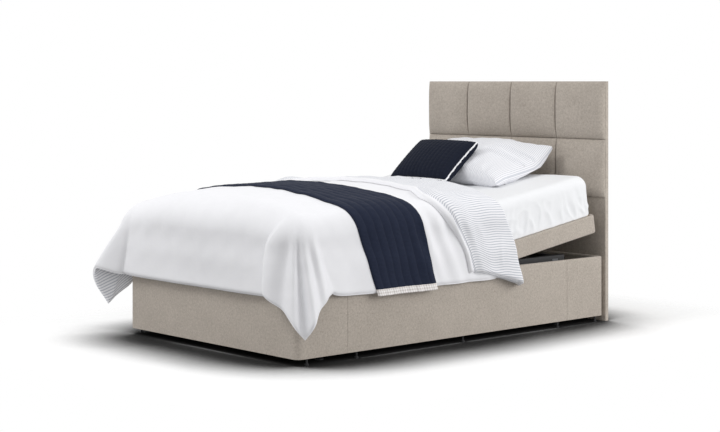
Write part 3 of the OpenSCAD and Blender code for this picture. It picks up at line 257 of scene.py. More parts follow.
def cornerSpread(t, e, table):
    # Shift in plan, sideways and footwards, of corner cloth from the upright below the turned edge:
    # the span to its hem place times a share that grows as a power of the way that it has fallen.
    angle = t * math.pi / 2
    reach = hangLength / np.maximum(np.cos(angle), np.sin(angle))
    turned = drape["turn"] * (1 - np.cos(np.clip(e / drape["turn"], 0, math.pi / 2)))
    way = np.clip((turned + np.maximum(0, e - turnLength)) / (drape["turn"] + reach - turnLength), 0, 1)
    late = throughPlaces(table, t, 3)
    early, late = np.clip(-late, 0, 1), np.clip(late, 0, 1)
    atOnce = 1 - (1 - way) ** (drape["swing"] + drape["earlySwing"] * early)
    share = (1 - late) * atOnce + late * way ** drape["lateSwing"]
    spanX = throughPlaces(table, t, 1) - drape["turn"] * np.sin(angle)
    spanY = throughPlaces(table, t, 2) - drape["turn"] * np.cos(angle)
    lean = np.hypot(spanX, spanY) / (reach - turnLength)
    return spanX * share, spanY * share, lean


def cornerSink(a, b):
    # Sink of the top near the two foot corners: a smooth well round each.
    away = np.hypot(np.maximum(0, a - footEdge), np.maximum(0, topHalf - np.abs(b)))
    return drape["cornerSag"] * smooth(1 - away / drape["cornerReach"]) ** drape["cornerPower"]


def sideWaves(q, e, onSide):
    # Shallow rounded folds that open towards the hem, and a slight billow half way down.
    depth = np.where(onSide, drape["sideFold"], drape["footFold"])
    bend = q / drape["foldPitch"] + drape["foldSway"] * np.sin(q * drape["swayTurns"] + drape["swayStart"])
    wide = (1 - np.cos(2 * math.pi * bend)) / 2
    return depth * hangShare(e) * wide + drape["billow"] * np.sin(math.pi * hangShare(e)) ** 2


pleats = {
    "depth": 0.009,
    "count": 2.6,            # large folds in a foot corner, and where the first one starts
    "start": 0.05,
    "fineShare": 0.45,       # fine ones: depth and number as shares of the large ones', and their start
    "fineCount": 1.9,
    "fineStart": 0.3,
    "below": 0.05,           # flat distance past the edge where they begin, and over which they deepen
    "growth": 0.17,
    "border": 0.16,          # share of the quarter turn over which they fade at each side
}


def cornerFolds(t, e):
    # Folds of a corner that deepen downwards: two sines round the corner, faded at its two borders.
    large = np.sin(2 * math.pi * (pleats["count"] * t + pleats["start"]))
    fine = np.sin(2 * math.pi * (pleats["fineCount"] * pleats["count"] * t + pleats["fineStart"]))
    deep = smooth((e - pleats["below"]) / pleats["growth"]) * smooth(np.minimum(t, 1 - t) / pleats["border"])
    return pleats["depth"] * (large + pleats["fineShare"] * fine) * deep


def bedCloth(a, b, height):
    # Point of the cloth whose flat place is a along the bed and b across it, height above the
    # mattress along the normal. Beyond the edges it turns over an arc and hangs. Round a foot corner
    # it spreads through the places of the corner's table, and a drop of the hanging length times the
    # root of one minus the lean squared keeps its length.
    side = np.where(b < 0, -1, 1)
    ca, cb = a - footEdge, topHalf - np.abs(b)
    corner = (ca < 0) & (cb < 0)
    e = pastEdge(a, b)
    t = np.where(corner, np.arctan2(-cb, -ca) / (math.pi / 2), np.where(cb < 0, 1.0, 0.0))
    phi = np.clip(e / drape["turn"], 0, math.pi / 2)
    fade = np.where(corner, 1, np.exp(-np.maximum(np.maximum(ca, cb), 0) / drape["spreadLength"]))
    nearX, nearY, nearLean = cornerSpread(t, e, drape["near"])
    farX, farY, farLean = cornerSpread(t, e, drape["far"])
    folds = np.where(corner, cornerFolds(t, e), sideWaves(np.maximum(ca, cb), e, cb < 0) * (1 - fade))
    out = (drape["turn"] + height) * np.sin(phi) + folds
    angle = t * math.pi / 2
    x = topHalf - np.maximum(cb, 0) + out * np.sin(angle) + np.where(side > 0, nearX, farX) * fade
    s = footEdge + np.maximum(ca, 0) - out * np.cos(angle) - np.where(side > 0, nearY, farY) * fade
    lean = np.minimum(np.where(side > 0, nearLean, farLean) * fade, drape["leanMost"])
    drop = np.maximum(0, e - turnLength) * np.sqrt(1 - lean ** 2)
    z = mattressTop + drape["gap"] - drape["turn"] * (1 - np.cos(phi)) - drop + height * np.cos(phi)
    z = z - cornerSink(a, b) * (1 - hangShare(e)) + slopeRise(a)
    onTop = e == 0
    return np.stack([np.where(onTop, b, side * x), along(np.where(onTop, a, s)), z], -1)


def dropAt(b):
    # Drop of cloth that lies b across the bed.
    return turnDown(np.maximum(0, np.abs(b) - topHalf))


def hemShare(distance, width=0.018):
    # Rounded edge: rises from 0 at the hem to 1 one width inside it, on a quarter circle.
    d = np.clip(distance / width, 0, 1)
    return np.sqrt(1 - (1 - d) ** 2)


duvetForm = {
    "top": 0.036,            # thickness on the mattress
    "hang": 0.022,           # thickness where it hangs
    "split": 0.750,          # hidden joint of its two lower pieces
    "end": 1.040,            # end under the folded part
    "slant": 0.42,           # slant of the folded part for each unit of drop
    "edgeLift": 0.4,         # height of its hem's middle, as a share of the hanging thickness
    "dome": 0.052,           # how much higher it stands in the middle of the bed, and the dome's form
    "domeOver": 0.02,
    "domePower": 2.2,
    "domeFoot": 0.5,         # share of the dome that is left at the foot, and over what length it grows
    "domeFrom": 0.05,
    "domeGrowth": 0.45,
    "pull": 0.006,           # slanting folds that the folded end pulls in the near and far sides
    "pullPitch": 0.092,
    "pullSlant": 0.5,
    "pullFrom": 0.62,
    "pullTo": 1.1,
    "pullRamp": 0.08,
    "pullDown": 0.12,
    "hangSoft": 0.6,         # how much flatter it is at the hem
    "broad": (0.0030, 0.36, 3),    # height, pitch and seed of its bumps
    "small": (0.0012, 0.13, 5),
}


def puff(a, b):
    # Unevenness of a filled duvet: a dome that falls as a power of the distance from the bed's middle
    # line, slanting sine folds beside the folded end, and low bumps.
    form = duvetForm
    shape = 1 - np.clip(np.abs(b) / (topHalf + form["domeOver"]), 0, 1) ** form["domePower"]
    grown = form["domeFoot"] + (1 - form["domeFoot"]) * smooth((a + form["domeFrom"]) / form["domeGrowth"])
    folds = np.sin((a - form["pullSlant"] * dropAt(b)) * 2 * math.pi / form["pullPitch"])
    folds = form["pull"] * folds * smooth((a - form["pullFrom"]) / form["pullRamp"])
    folds = folds * smooth((np.abs(b) - topHalf) / form["pullDown"])
    folds = folds * smooth((form["pullTo"] + form["slant"] * dropAt(b) - a) / form["pullRamp"])
    return form["dome"] * shape * grown + folds + bumps(a, b, *form["broad"]) + bumps(a, b, *form["small"])


def duvetHeight(a, b):
    # Thickness that goes smoothly from the top's to the hanging one, plus the puff.
    e = pastEdge(a, b)
    share = smooth(e / (2 * turnLength))
    even = duvetForm["top"] * (1 - share) + duvetForm["hang"] * share
    return even + puff(a, b) * (1 - duvetForm["hangSoft"] * hangShare(e))


# Folded-back head end: thick, with a rolled foot edge and a round crease.
foldedForm = {
    "start": 0.868,          # flat places of its foot edge and of its crease
    "crease": 1.228,
    "thick": 0.036,
    "hangThick": 0.026,
    "edgeRoll": 0.016,       # radii of the foot edge, the crease and the hem
    "creaseRoll": 0.026,
    "hemRoll": 0.016,
    "whiteBand": 0.034,      # rolled band along the foot edge
    "bandShare": 0.62,       # its thickness as a share of the full one
    "ramp": 0.055,           # rise from the band to the full thickness
    "seamShare": 0.34,       # depth and width of the stitched line beside the band
    "seamWidth": 0.0045,
    "raisedFoot": 0.042,     # how much shorter the folded layer hangs at its foot edge
    "longerHead": 0.070,     # how much longer both layers hang at the crease
    "longerPower": 2.2,
    "slantLoss": 0.35,       # share of the slant that is lost at the crease
    "turnShift": 0.085,      # how much nearer to the foot the fold lies where it turns over the edge
    "turnPlace": 0.02,
    "turnWidth": 0.12,
    "turnLoss": 0.6,
    "crown": 0.028,          # extra height in the middle of the bed, and behind the band
    "crownRamp": 0.10,
    "swell": 0.008,
    "swellFrom": 0.16,
    "swellRamp": 0.12,
    "dip": 0.016,            # flatter stretch just below the turned edge
    "dipPlace": 0.03,
    "dipWidth": 0.05,
    "broad": (0.0030, 0.17, 11),
    "creaseDepth": 0.0026,
    "creasePitch": 0.16,
    "creaseStretch": (1.2, 0.4, 0.5),    # along the bed, slanting, and across it
    "wrinkleFrom": 0.03,
    "wrinkleRamp": 0.05,
    "underEnd": 1.200,       # end of the lower layer, its thickness, and over what length it thins
    "underThick": 0.020,
    "underRamp": 0.10,
    "skin": 0.0015,          # least distance between two layers
    "least": 0.001,          # least thickness
    "sinkEarly": 0.012,      # how far before the lower layer's end the fold starts to sink, and for how long
    "sinkRamp": 0.03,
    "footArc": 0.018,        # where its lines lie: an arc at each edge, and from and to for those between
    "headArc": 0.030,
    "bandSpan": (0.020, 0.05),
    "middleSpan": (0.054, 0.034),
}


def woundPlace(x, y, z, axis):
    # Distance along the surface from its middle line, so that a pattern follows the cloth.
    steps = np.sqrt(np.diff(x, axis=axis) ** 2 + np.diff(y, axis=axis) ** 2 + np.diff(z, axis=axis) ** 2)
    start = np.zeros_like(np.take(x, [0], axis))
    total = np.concatenate([start, np.cumsum(steps, axis)], axis)
    return total - np.take(total, [total.shape[axis] // 2], axis)


def underHeight(a, b):
    # Top of the duvet's lower layer: full in front of the fold, thinner under it.
    share = smooth((a - duvetForm["slant"] * dropAt(b) - foldedForm["start"]) / foldedForm["underRamp"])
    return duvetHeight(a, b) * (1 - share) + foldedForm["underThick"] * share


def makeDuvetPiece(name, a, b, height, hemFoot):
    # A layer between the mattress and a height, drawn together on a quarter circle at its hems.
    edge = hemShare(topHalf + hangLength - np.abs(b))
    if hemFoot:
        edge = edge * hemShare(a - (footEdge - hangLength))
    low = duvetForm["edgeLift"] * duvetForm["hang"] * (1 - edge)
    upper = bedCloth(a, b, low + (height(a, b) - low) * edge)
    return closedSheet(name, upper, bedCloth(a, b, low), np.stack([a, b], -1), True, True)


# Lines across and along the bed, closest beside the split, where two pieces share one surface.
hangLines, topLines = np.linspace(0, hangLength, 44), np.linspace(-topHalf, topHalf, 96)
across = np.concatenate([-topHalf - hangLines[::-1], topLines[1:-1], topHalf + hangLines])
splitPlace = duvetForm["split"]
footLines = np.concatenate([footEdge - hangLines[::-1], np.linspace(footEdge, splitPlace - 0.010, 56)[1:],
                            splitPlace - np.array([0.004, 0.001, 0])])
a, b = np.meshgrid(footLines, across, indexing="ij")
duvetFoot = makeDuvetPiece("duvetFoot", a, b, duvetHeight, True)
rows = np.concatenate([[0, 0.003, 0.013], np.linspace(0.035, 0.965, 30), [0.987, 0.997, 1]])[:, None]
b = np.repeat(across[None, :], len(rows), 0)
a = splitPlace + (duvetForm["end"] + duvetForm["slant"] * dropAt(b) - splitPlace) * rows
duvetMiddle = makeDuvetPiece("duvetMiddle", a, b, underHeight, False)
print("duvet made")


def makeFolded():
    # A sheet over the lower layer: its thickness rises from a rolled band to the full one and is drawn
    # together on quarter circles; bells shift and flatten it where it turns over the mattress edge.
    form, start, crease = foldedForm, foldedForm["start"], foldedForm["crease"]
    lines = np.concatenate([
        start + form["footArc"] * (1 - np.cos(np.linspace(0, math.pi / 2, 10))),
        np.linspace(start + form["bandSpan"][0], start + form["bandSpan"][1], 12),
        np.linspace(start + form["middleSpan"][0], crease - form["middleSpan"][1], 44),
        crease - form["headArc"] * (1 - np.sin(np.linspace(0, math.pi / 2, 12)))])
    share = ((lines - start) / (crease - start))[:, None]
    raised = form["raisedFoot"] - (form["raisedFoot"] + form["longerHead"]) * share ** form["longerPower"]
    flat = across[None, :]
    over = np.clip((np.abs(flat) - topHalf) / hangLength, 0, 1)
    b = flat - np.sign(flat) * raised * over
    k = lines[:, None] + 0 * b
    past = np.abs(b) - topHalf
    shift = form["turnShift"] * bell((past - form["turnPlace"]) / form["turnWidth"])
    shift = shift * (1 - form["turnLoss"] * share)
    a = k + duvetForm["slant"] * dropAt(b) * (1 - form["slantLoss"] * share) - shift
    hang = smooth(np.maximum(0, past) / (2 * turnLength))
    thick = form["thick"] * (1 - hang) + form["hangThick"] * hang
    pastBand = k - start - form["whiteBand"]
    climb = form["bandShare"] + (1 - form["bandShare"]) * smooth(pastBand / form["ramp"])
    seam = form["seamShare"] * bell(pastBand / form["seamWidth"])
    roundFoot = hemShare(k - start, form["edgeRoll"])
    roundHead = hemShare(crease - k, form["creaseRoll"])
    bottom = hemShare((1 - over) * hangLength, form["hemRoll"])
    crest = form["swell"] * smooth((k - start - form["swellFrom"]) / form["swellRamp"])
    middle = 1 - np.clip(np.abs(b) / topHalf, 0, 1) ** 2
    crest = crest + form["crown"] * middle * smooth((k - start) / form["crownRamp"])
    crest = crest - form["dip"] * bell((past - form["dipPlace"]) / form["dipWidth"]) * smooth(share)
    longer, slanting, wider = form["creaseStretch"]
    wrinkle = form["creaseDepth"] * ridges(a * longer + slanting * b, b * wider, form["creasePitch"], 13)
    wrinkle = wrinkle + bumps(a, b, *form["broad"])
    wrinkle = wrinkle * smooth((k - start - form["wrinkleFrom"]) / form["wrinkleRamp"])
    sinkHead = smooth((k - form["underEnd"] + form["sinkEarly"]) / form["sinkRamp"])
    under = underHeight(a, b)
    below = (under + form["skin"]) * (1 - sinkHead) + form["skin"] * sinkHead
    full = (thick * (climb - seam) + crest + wrinkle) * roundFoot * roundHead * bottom
    full = full + (under - below) * roundHead
    upper = bedCloth(a, b, below + full + form["least"])
    lower = bedCloth(a, b, below)
    wound = woundPlace(*np.moveaxis(upper, -1, 0), 1)
    return closedSheet("duvetTurndown", upper, lower, np.stack([k - start, wound], -1))


def makeUnder():
    # Lower layer of the folded end, from the duvet's middle piece to just short of the crease. It
    # hangs lower as the folded layer does, and is drawn together on quarter circles at its edges.
    form, end, least = foldedForm, duvetForm["end"], foldedForm["least"]
    k = np.concatenate([end + np.array([0, 0.001, 0.004]), np.linspace(end + 0.01, form["underEnd"], 24)])
    k = k[:, None]
    longer = form["longerHead"] * smooth((k - end) / (form["underEnd"] - end))
    over = np.clip((np.abs(across[None, :]) - topHalf) / hangLength, 0, 1)
    b = across[None, :] + np.sign(across[None, :]) * longer * over
    a = k + duvetForm["slant"] * dropAt(b)
    edge = hemShare((1 - over) * hangLength) * hemShare(form["underEnd"] + least - k, form["underThick"])
    upper = bedCloth(a, b, least + (underHeight(a, b) - least) * edge)
    lower = bedCloth(a, b, least + 0 * b)
    return closedSheet("duvetUnder", upper, lower, np.stack([a, b], -1), True, True)


duvetTurndown = makeFolded()
duvetUnder = makeUnder()

# Quilted throw across the bed.
throwForm = {
    "start": 0.306, "width": 0.347, "skew": 0.10, "slant": 0.50, "thick": 0.009,
    "edgeShare": 0.35,       # thickness of its long edges, as a share, and their radius
    "edgeRoll": 0.006,
    "channels": 8, "channelDepth": 0.0035, "channelPower": 0.6, "channelLines": 9,
    "pucker": 0.0006,        # small gathers along the stitched lines
    "puckerPitch": 0.018,
    "rest": 0.0012,          # gap to the duvet
    "hemBand": 0.030,        # gingham band at each end, and how far below the duvet's hem it reaches
    "lower": 0.012,
    # Easing over the near edge, in two steps: shift of the first line, what the last line adds to it,
    # how far past the edge it starts, and over what length.
    "eases": ((0.030, 0.044, -0.30, 0.40), (-0.010, -0.010, 0.16, 0.18)),
}


def throwPlace(k, b):
    # Flat place along the bed of the throw's line k, from 0 to 1 over its width, where it lies b across
    # the bed: skewed, slanting as it drops, and eased in two smooth steps over the near edge.
    a = throwForm["start"] + throwForm["width"] * k - throwForm["skew"] * b + throwForm["slant"] * dropAt(b)
    for shift, more, begin, length in throwForm["eases"]:
        a = a + (shift + more * k) * smooth((b - topHalf - begin) / length)
    return a


def makeThrow(name, across):
    # A thin sheet on the duvet: rounded channels, a power of a sine's size, with puckers between seams.
    form = throwForm
    k = np.linspace(0, 1, form["channels"] * form["channelLines"] + 1)[:, None]
    b = np.repeat(across[None, :], len(k), 0)
    a = throwPlace(k, b)
    ridge = np.abs(np.sin(math.pi * form["channels"] * k)) ** form["channelPower"] - 1
    gather = np.sin(b * 2 * math.pi / form["puckerPitch"] + 3 * waves(a, b, 0.1, 21))
    edge = hemShare(np.minimum(k, 1 - k) * form["width"], form["edgeRoll"])
    edge = form["edgeShare"] + (1 - form["edgeShare"]) * edge
    rest = duvetHeight(a, b) + form["rest"]
    top = form["thick"] * edge + form["channelDepth"] * ridge + form["pucker"] * gather * (1 + ridge)
    uv = np.stack([k * form["width"] + 0 * b, b], -1)
    return closedSheet(name, bedCloth(a, b, rest + top), bedCloth(a, b, rest), uv)


hemCut = topHalf + hangLength + throwForm["lower"]
bandLines = hemCut - throwForm["hemBand"]
sideLines = np.linspace(topHalf, bandLines, 90)
throwAcross = np.concatenate([-sideLines[::-1], np.linspace(-topHalf, topHalf, 150)[1:-1], sideLines])
throwCloth = makeThrow("throwCloth", throwAcross)
throwHemNear = makeThrow("throwHemNear", np.linspace(bandLines, hemCut, 8))
throwHemFar = makeThrow("throwHemFar", np.linspace(-hemCut, -bandLines, 8))
middle = throwPlace(0.5, throwAcross)
middle = bedCloth(middle, throwAcross, duvetHeight(middle, throwAcross))
print("folded end and throw made")

# Mattress in its fitted sheet, in three pieces split at the joints of the platform.
sheetForm = {
    "start": 0.016,          # ends and joints of its pieces along the bed
    "kneeJoint": 0.785,
    "backJoint": 1.075,
    "end": 1.931,
    "proud": 0.008,          # how far the cover stands out from the solid
    "edge": 0.050,           # radii of the upper edges, the lower edges and the corners
    "lowEdge": 0.006,
    "corner": 0.085,
    "headCorner": 0.045,
    "endShare": 0.75,        # rounding of the ends, as a share of the upper edge's
    "wrinkleDepth": 0.0060,
    "wrinklePitch": 0.125,
    "rowStep": 0.0075,
    "bendHalf": 0.06,        # half the length over which the top bends at the back hinge
    "endRings": (0.93, 0.8, 0.55, 0.25, 0.02),
    "sideFrom": 0.02,        # how far inside the side's face the wrinkles start, and over what length
    "sideRamp": 0.018,
    "fadeTop": 0.75,         # shares of the height over which they fade, at the top and at the bottom
    "fadeLow": 0.2,
    "lean": 0.05,            # how far they lean, and the pitch at which that changes
    "leanPitch": 0.5,
    "sharp": 1.5,            # power of a wrinkle's form, and how much of it lies below the face
    "sunk": 0.35,
    "fineShare": 0.35,       # depth of the fine ones as a share, and their pitch
    "finePitch": 0.06,
    "topBumps": (0.0016, 0.3, 37),
}


def between(first, last, count):
    # Points on the line between two points, without its ends.
    t = np.linspace(0, 1, count + 2)[1:-1, None]
    return first + (last - first) * t


def mattressLoop(half, height):
    # Cross section: four quarter circles joined by straight lines.
    r, q = sheetForm["edge"], sheetForm["lowEdge"]
    sideCount, topCount, arcCount = 26, 60, 11
    arcs = []
    for cx, cz, first, radius in ((half - q, q, -90, q), (half - r, height - r, 0, r),
                                  (r - half, height - r, 90, r), (q - half, q, 180, q)):
        angle = np.radians(first + np.linspace(0, 90, arcCount))
        arcs.append(np.stack([cx + radius * np.cos(angle), cz + radius * np.sin(angle)], -1))
    loop = []
    for k, count in enumerate((sideCount, topCount, sideCount, topCount)):
        loop += [arcs[k], between(arcs[k][-1], arcs[(k + 1) % 4][0], count)]
    return np.concatenate(loop)


def makeMattress(name, start, end, endCap):
    # Cross section carried along the bed. Near the two ends the section's corners close in on a
    # quarter circle; the sides carry soft upright wrinkles that fade towards the top edge.
    height, half = mattressTop - deckTop, halfWidth + sheetForm["proud"]
    rows = max(8, int((end - start) / sheetForm["rowStep"]))
    c = sheetForm["corner"] if endCap < 0 else sheetForm["headCorner"]
    arc = np.linspace(0, math.pi / 2, 14)
    if endCap > 0:
        s = np.concatenate([np.linspace(start, end - c, rows), end - c * (1 - np.sin(arc[1:]))])
    elif endCap < 0:
        s = np.concatenate([start + c * (1 - np.cos(arc[:-1])), np.linspace(start + c, end, rows)])
    else:
        s = np.linspace(start, end, rows)
    loop = mattressLoop(half, height)
    px, pz = loop[None, :, 0], loop[None, :, 1]
    s = s[:, None] + 0 * px
    near = np.where(endCap > 0, np.maximum(0, s - (end - c)),
                    np.where(endCap < 0, np.maximum(0, start + c - s), 0))
    narrow = c - np.sqrt(np.maximum(0, c * c - near * near))
    x = px * (1 - narrow / half)
    # The top and bottom edges at the ends are rounded the same way.
    endRound = (1 - np.sqrt(np.maximum(0, 1 - (near / c) ** 2))) * sheetForm["edge"] * sheetForm["endShare"]
    z = height / 2 + (pz - height / 2) * (1 - endRound / (height / 2))
    onSide = smooth((np.abs(px) - (half - sheetForm["sideFrom"])) / sheetForm["sideRamp"])
    level = np.clip(pz / height, 0, 1)
    fade = smooth((1 - level) / sheetForm["fadeTop"]) * (0.5 + 0.5 * smooth(level / sheetForm["fadeLow"]))
    lean = sheetForm["lean"] * (level - 0.5) * np.sign(px) * waves(s, 0 * s, sheetForm["leanPitch"], 31)
    lean = s + lean
    folds = ridges(lean, 0.12 * level, sheetForm["wrinklePitch"], 33, sheetForm["sharp"]) - sheetForm["sunk"]
    folds = folds + sheetForm["fineShare"] * waves(lean, level * 0.05, sheetForm["finePitch"], 35)
    x = x + np.sign(px) * onSide * fade * sheetForm["wrinkleDepth"] * folds
    z = z + bumps(s, x, *sheetForm["topBumps"]) * smooth((level - 0.9) / 0.1)
    # It sinks under the duvet's foot corners.
    z = z + deckTop - cornerSink(s, x) * smooth((level - 0.3) / 0.7)
    # The part behind the back hinge is turned up with the back section.
    dy, dz = along(s) - backHinge[1], z - backHinge[2]
    angle = restAngle * smooth((dy + sheetForm["bendHalf"]) / (2 * sheetForm["bendHalf"]))
    points = np.stack([x, backHinge[1] + dy * np.cos(angle) - dz * np.sin(angle),
                       backHinge[2] + dy * np.sin(angle) + dz * np.cos(angle)], -1)
    count, columns = points.shape[:2]
    quads = [gridQuads(count, columns, closeColumns=True)]
    allPoints = [points.reshape(-1, 3)]
    allUv = [np.stack([s, np.cumsum(np.full_like(s, 1.0 / columns), 1)], -1).reshape(-1, 2)]
    # End walls: rings that shrink to the middle of the end.
    base = count * columns
    for row, flip in ((0, False), (count - 1, True)):
        centre = points[row].mean(0)
        previous = row * columns + np.arange(columns)
        for shrink in sheetForm["endRings"]:
            allPoints.append(centre + (points[row] - centre) * shrink)
            allUv.append(np.zeros((columns, 2)))
            now = base + np.arange(columns)
            base += columns
            wall = np.stack([previous, now, np.roll(now, -1), np.roll(previous, -1)], -1)
            quads.append(wall[:, ::-1] if flip else wall)
            previous = now
    return meshFrom(name, np.concatenate(allPoints), np.concatenate(quads), np.concatenate(allUv))


mattressFoot = makeMattress("mattressFoot", sheetForm["start"], sheetForm["kneeJoint"], -1)
mattressMiddle = makeMattress("mattressMiddle", sheetForm["kneeJoint"], sheetForm["backJoint"], 0)
mattressHead = makeMattress("mattressHead", sheetForm["backJoint"], sheetForm["end"], 1)
print("mattress made")


# Pillow and cushion: crowned closed forms whose sides draw in between their corners.
def localFrame(form):
    # Origin and axes of a cushion that lies at its slope on the raised back section.
    place, lean = form["place"], restAngle + math.radians(form["slope"])
    dy, dz = place[1] - backHinge[1], place[2] - backHinge[2]
    origin = np.array([
        place[0],
        backHinge[1] + dy * math.cos(restAngle) - dz * math.sin(restAngle),
        backHinge[2] + dy * math.sin(restAngle) + dz * math.cos(restAngle)])
    ahead = np.array([0, math.cos(lean), math.sin(lean)])
    upward = np.array([0, -math.sin(lean), math.cos(lean)])
    return origin, np.array([1.0, 0, 0]), ahead, upward


def inFrame(form, x, y, z):
    # The origin plus x, y and z along the cushion's own axes.
    origin, ex, ey, ez = localFrame(form)
    return origin + x[..., None] * ex + y[..., None] * ey + z[..., None] * ez


def sineLine(count):
    # Places from -1 to 1, packed towards both ends as the sine of equal angles.
    return np.sin(np.linspace(-math.pi / 2, math.pi / 2, count))


def padShape(u, v, form, power):
    # Outline drawn in between the corners, and a crown that falls to a thin edge.
    x = u * form["size"][0] / 2 * (1 - form["drawIn"] * (1 - v * v))
    y = v * form["size"][1] / 2 * (1 - form["drawIn"] * (1 - u * u))
    crown = form["size"][2] / 2 * np.clip((1 - u * u) * (1 - v * v), 0, 1) ** power
    return x, y, crown


pillowForm = {
    "size": (0.735, 0.445, 0.150), "place": (-0.010, along(1.742), deckTop + 0.284), "slope": 11,
    "drawIn": 0.055, "crownPower": 0.36, "edge": 0.0045, "underShare": 0.92,
    "seamReach": 0.03,       # height of the crown at which folds reach their full depth
    "seamLeast": 0.002,      # least thickness of the hanging end
    "restDepth": 0.076,      # how far it reaches down before it lies flat on the mattress
    "foldShares": (0.02, 0.36),    # places of the two near folds across the pillow
    "foldSlant": 0.12,       # their slant, and where along the pillow they lie in their places
    "foldPivot": 0.8,
    "foldFrom": 0.30,        # where they start, over what length, and how close to the end they stop
    "foldRamp": 0.28,
    "foldEnd": 0.06,
    "ridge": (0.013, 0.05),  # height and width of a fold, and of the hollow beside it
    "hollow": (0.015, 0.04),
    "hollowStep": 0.09,
    "farGather": 0.004,
    "footGather": 0.0045,
    "broad": (0.0018, 0.16, 55),
    "hangFrom": 0.28,
    "endDrop": [(-1, 0.014), (-0.7, 0.024), (-0.3, 0.042), (0.1, 0.058), (0.4, 0.066),
                (0.6, 0.056), (0.8, 0.030), (1, 0.0)],
}
cushionForm = {
    "size": (0.400, 0.288, 0.110), "place": (-0.062, along(1.530), deckTop + 0.326), "slope": 30,
    "drawIn": 0.045, "crownPower": 0.36, "backPower": 0.24, "edge": 0.004,
    "channels": 15, "depth": 0.0026, "channelPower": 0.6, "pucker": 0.0007, "puckerPitch": 0.02,
    "pipe": 0.0042,          # radius of the piping, and how far it lies in front of the seam
    "pipeAhead": 0.0035,
    "seamReach": 0.02,       # height of the crown at which the quilting reaches its full depth
    "backShare": 0.5,        # depth of the quilting on the back, as a share
    "wobble": ((0.0018, 31, 37), (0.0012, 77, 83)),    # of the piping: size, and turns for x and y
}


def makePillow():
    # A crowned form with bell-shaped folds over its near end, whose edge hangs down to the mattress.
    form = pillowForm
    u, v = np.meshgrid(sineLine(131), sineLine(151))
    x, y, crown = padShape(u, v, form, form["crownPower"])
    fold = 0
    for at in form["foldShares"]:
        line = v - at - form["foldSlant"] * (u - form["foldPivot"])
        fold = fold + form["ridge"][0] * bell(line / form["ridge"][1])
        fold = fold - form["hollow"][0] * bell((line - form["hollowStep"]) / form["hollow"][1])
    fold = fold * smooth((u - form["foldFrom"]) / form["foldRamp"]) * smooth((1 - u) / form["foldEnd"])
    # Shorter folds gather at the far end and the foot edge.
    fold = fold + form["farGather"] * ridges((1 + u) * 1.1, v * 0.4, 0.4, 53, 1.6) * smooth((-u - 0.3) / 0.5)
    fold = fold + form["footGather"] * ridges(u * 1.3, v * 0.25, 0.22, 57, 1.5) * smooth((-v - 0.35) / 0.4)
    fold = (fold + bumps(x, y, *form["broad"])) * smooth(crown / form["seamReach"])
    # The near end hangs down to the mattress, least at its two corners.
    places, drops = zip(*form["endDrop"])
    fall = smooth((u - form["hangFrom"]) / (1 - form["hangFrom"])) * np.interp(v, places, drops)
    up = crown + form["edge"] + fold - fall
    down = crown * form["underShare"] + form["edge"] + fall
    down = np.minimum(down, np.maximum(form["restDepth"], fall + form["seamLeast"]))
    # The stripes follow the short side, and the near seam lies along one of them.
    across = woundPlace(x, y, up, 1)
    across = across * across[:, -1:].mean() / across[:, -1:]
    flat = np.stack([across, woundPlace(x, y, up, 0)], -1)
    return closedSheet("pillowCase", inFrame(form, x, y, up), inFrame(form, x, y, -down), flat, False)


def makeCushion():
    # A crowned form with rounded channels, a power of a sine's size, and puckers between the seams.
    form = cushionForm
    u, v = np.meshgrid(np.linspace(-1, 1, 197), sineLine(91))
    x, y, crown = padShape(u, v, form, form["crownPower"])
    channel = np.abs(np.sin(u * form["channels"] * math.pi / 2)) ** form["channelPower"] - 1
    gather = np.sin(v * form["size"][1] * math.pi / form["puckerPitch"] + 2.5 * waves(x, y, 0.07, 61))
    quilt = form["depth"] * channel + form["pucker"] * gather * (1 + channel)
    quilt = quilt * smooth(crown / form["seamReach"])
    up = crown + form["edge"] + quilt
    down = padShape(u, v, form, form["backPower"])[2] + form["edge"] + quilt * form["backShare"]
    flat = np.stack([x, y], -1)
    return closedSheet("cushionCase", inFrame(form, x, y, up), inFrame(form, x, y, -down), flat, False)


settleForm = {
    "pressure": 4.0, "frames": 20, "spare": -0.03, "most": 0.006,
    "cloth": {"quality": 5, "mass": 0.25, "tension_stiffness": 12, "compression_stiffness": 10,
              "shear_stiffness": 6, "bending_stiffness": 0.25},
}


def settle(piece):
    # Cloth under a slight inner pressure and a little spare length, so that it puckers along its seams.
    # The whole piece's drift is taken out, and no point moves further than "most".
    mesh, scene = piece.data, bpy.context.scene
    before = np.empty(len(mesh.vertices) * 3, np.float32)
    mesh.vertices.foreach_get("co", before)
    cloth = piece.modifiers.new("settle", "CLOTH")
    for key, value in settleForm["cloth"].items():
        setattr(cloth.settings, key, value)
    cloth.settings.shrink_min = settleForm["spare"]
    cloth.settings.use_pressure = True
    cloth.settings.uniform_pressure_force = settleForm["pressure"]
    cloth.settings.effector_weights.gravity = 0
    cloth.point_cache.frame_start, cloth.point_cache.frame_end = 1, settleForm["frames"]
    for step in range(1, settleForm["frames"] + 1):
        scene.frame_set(step)
    shaped = piece.evaluated_get(bpy.context.evaluated_depsgraph_get()).to_mesh()
    after = np.empty_like(before)
    shaped.vertices.foreach_get("co", after)
    piece.modifiers.remove(cloth)
    scene.frame_set(1)
    before, after = before.reshape(-1, 3), after.reshape(-1, 3)
    move = after - before - (after - before).mean(0)
    length = np.maximum(np.linalg.norm(move, axis=1, keepdims=True), 1e-9)
    most = settleForm["most"]
    mesh.vertices.foreach_set("co", (before + move / length * most * np.tanh(length / most)).ravel())
    mesh.update()
    print(piece.name, "settled, mean move in mm:", round(1000 * float(length.mean()), 2))


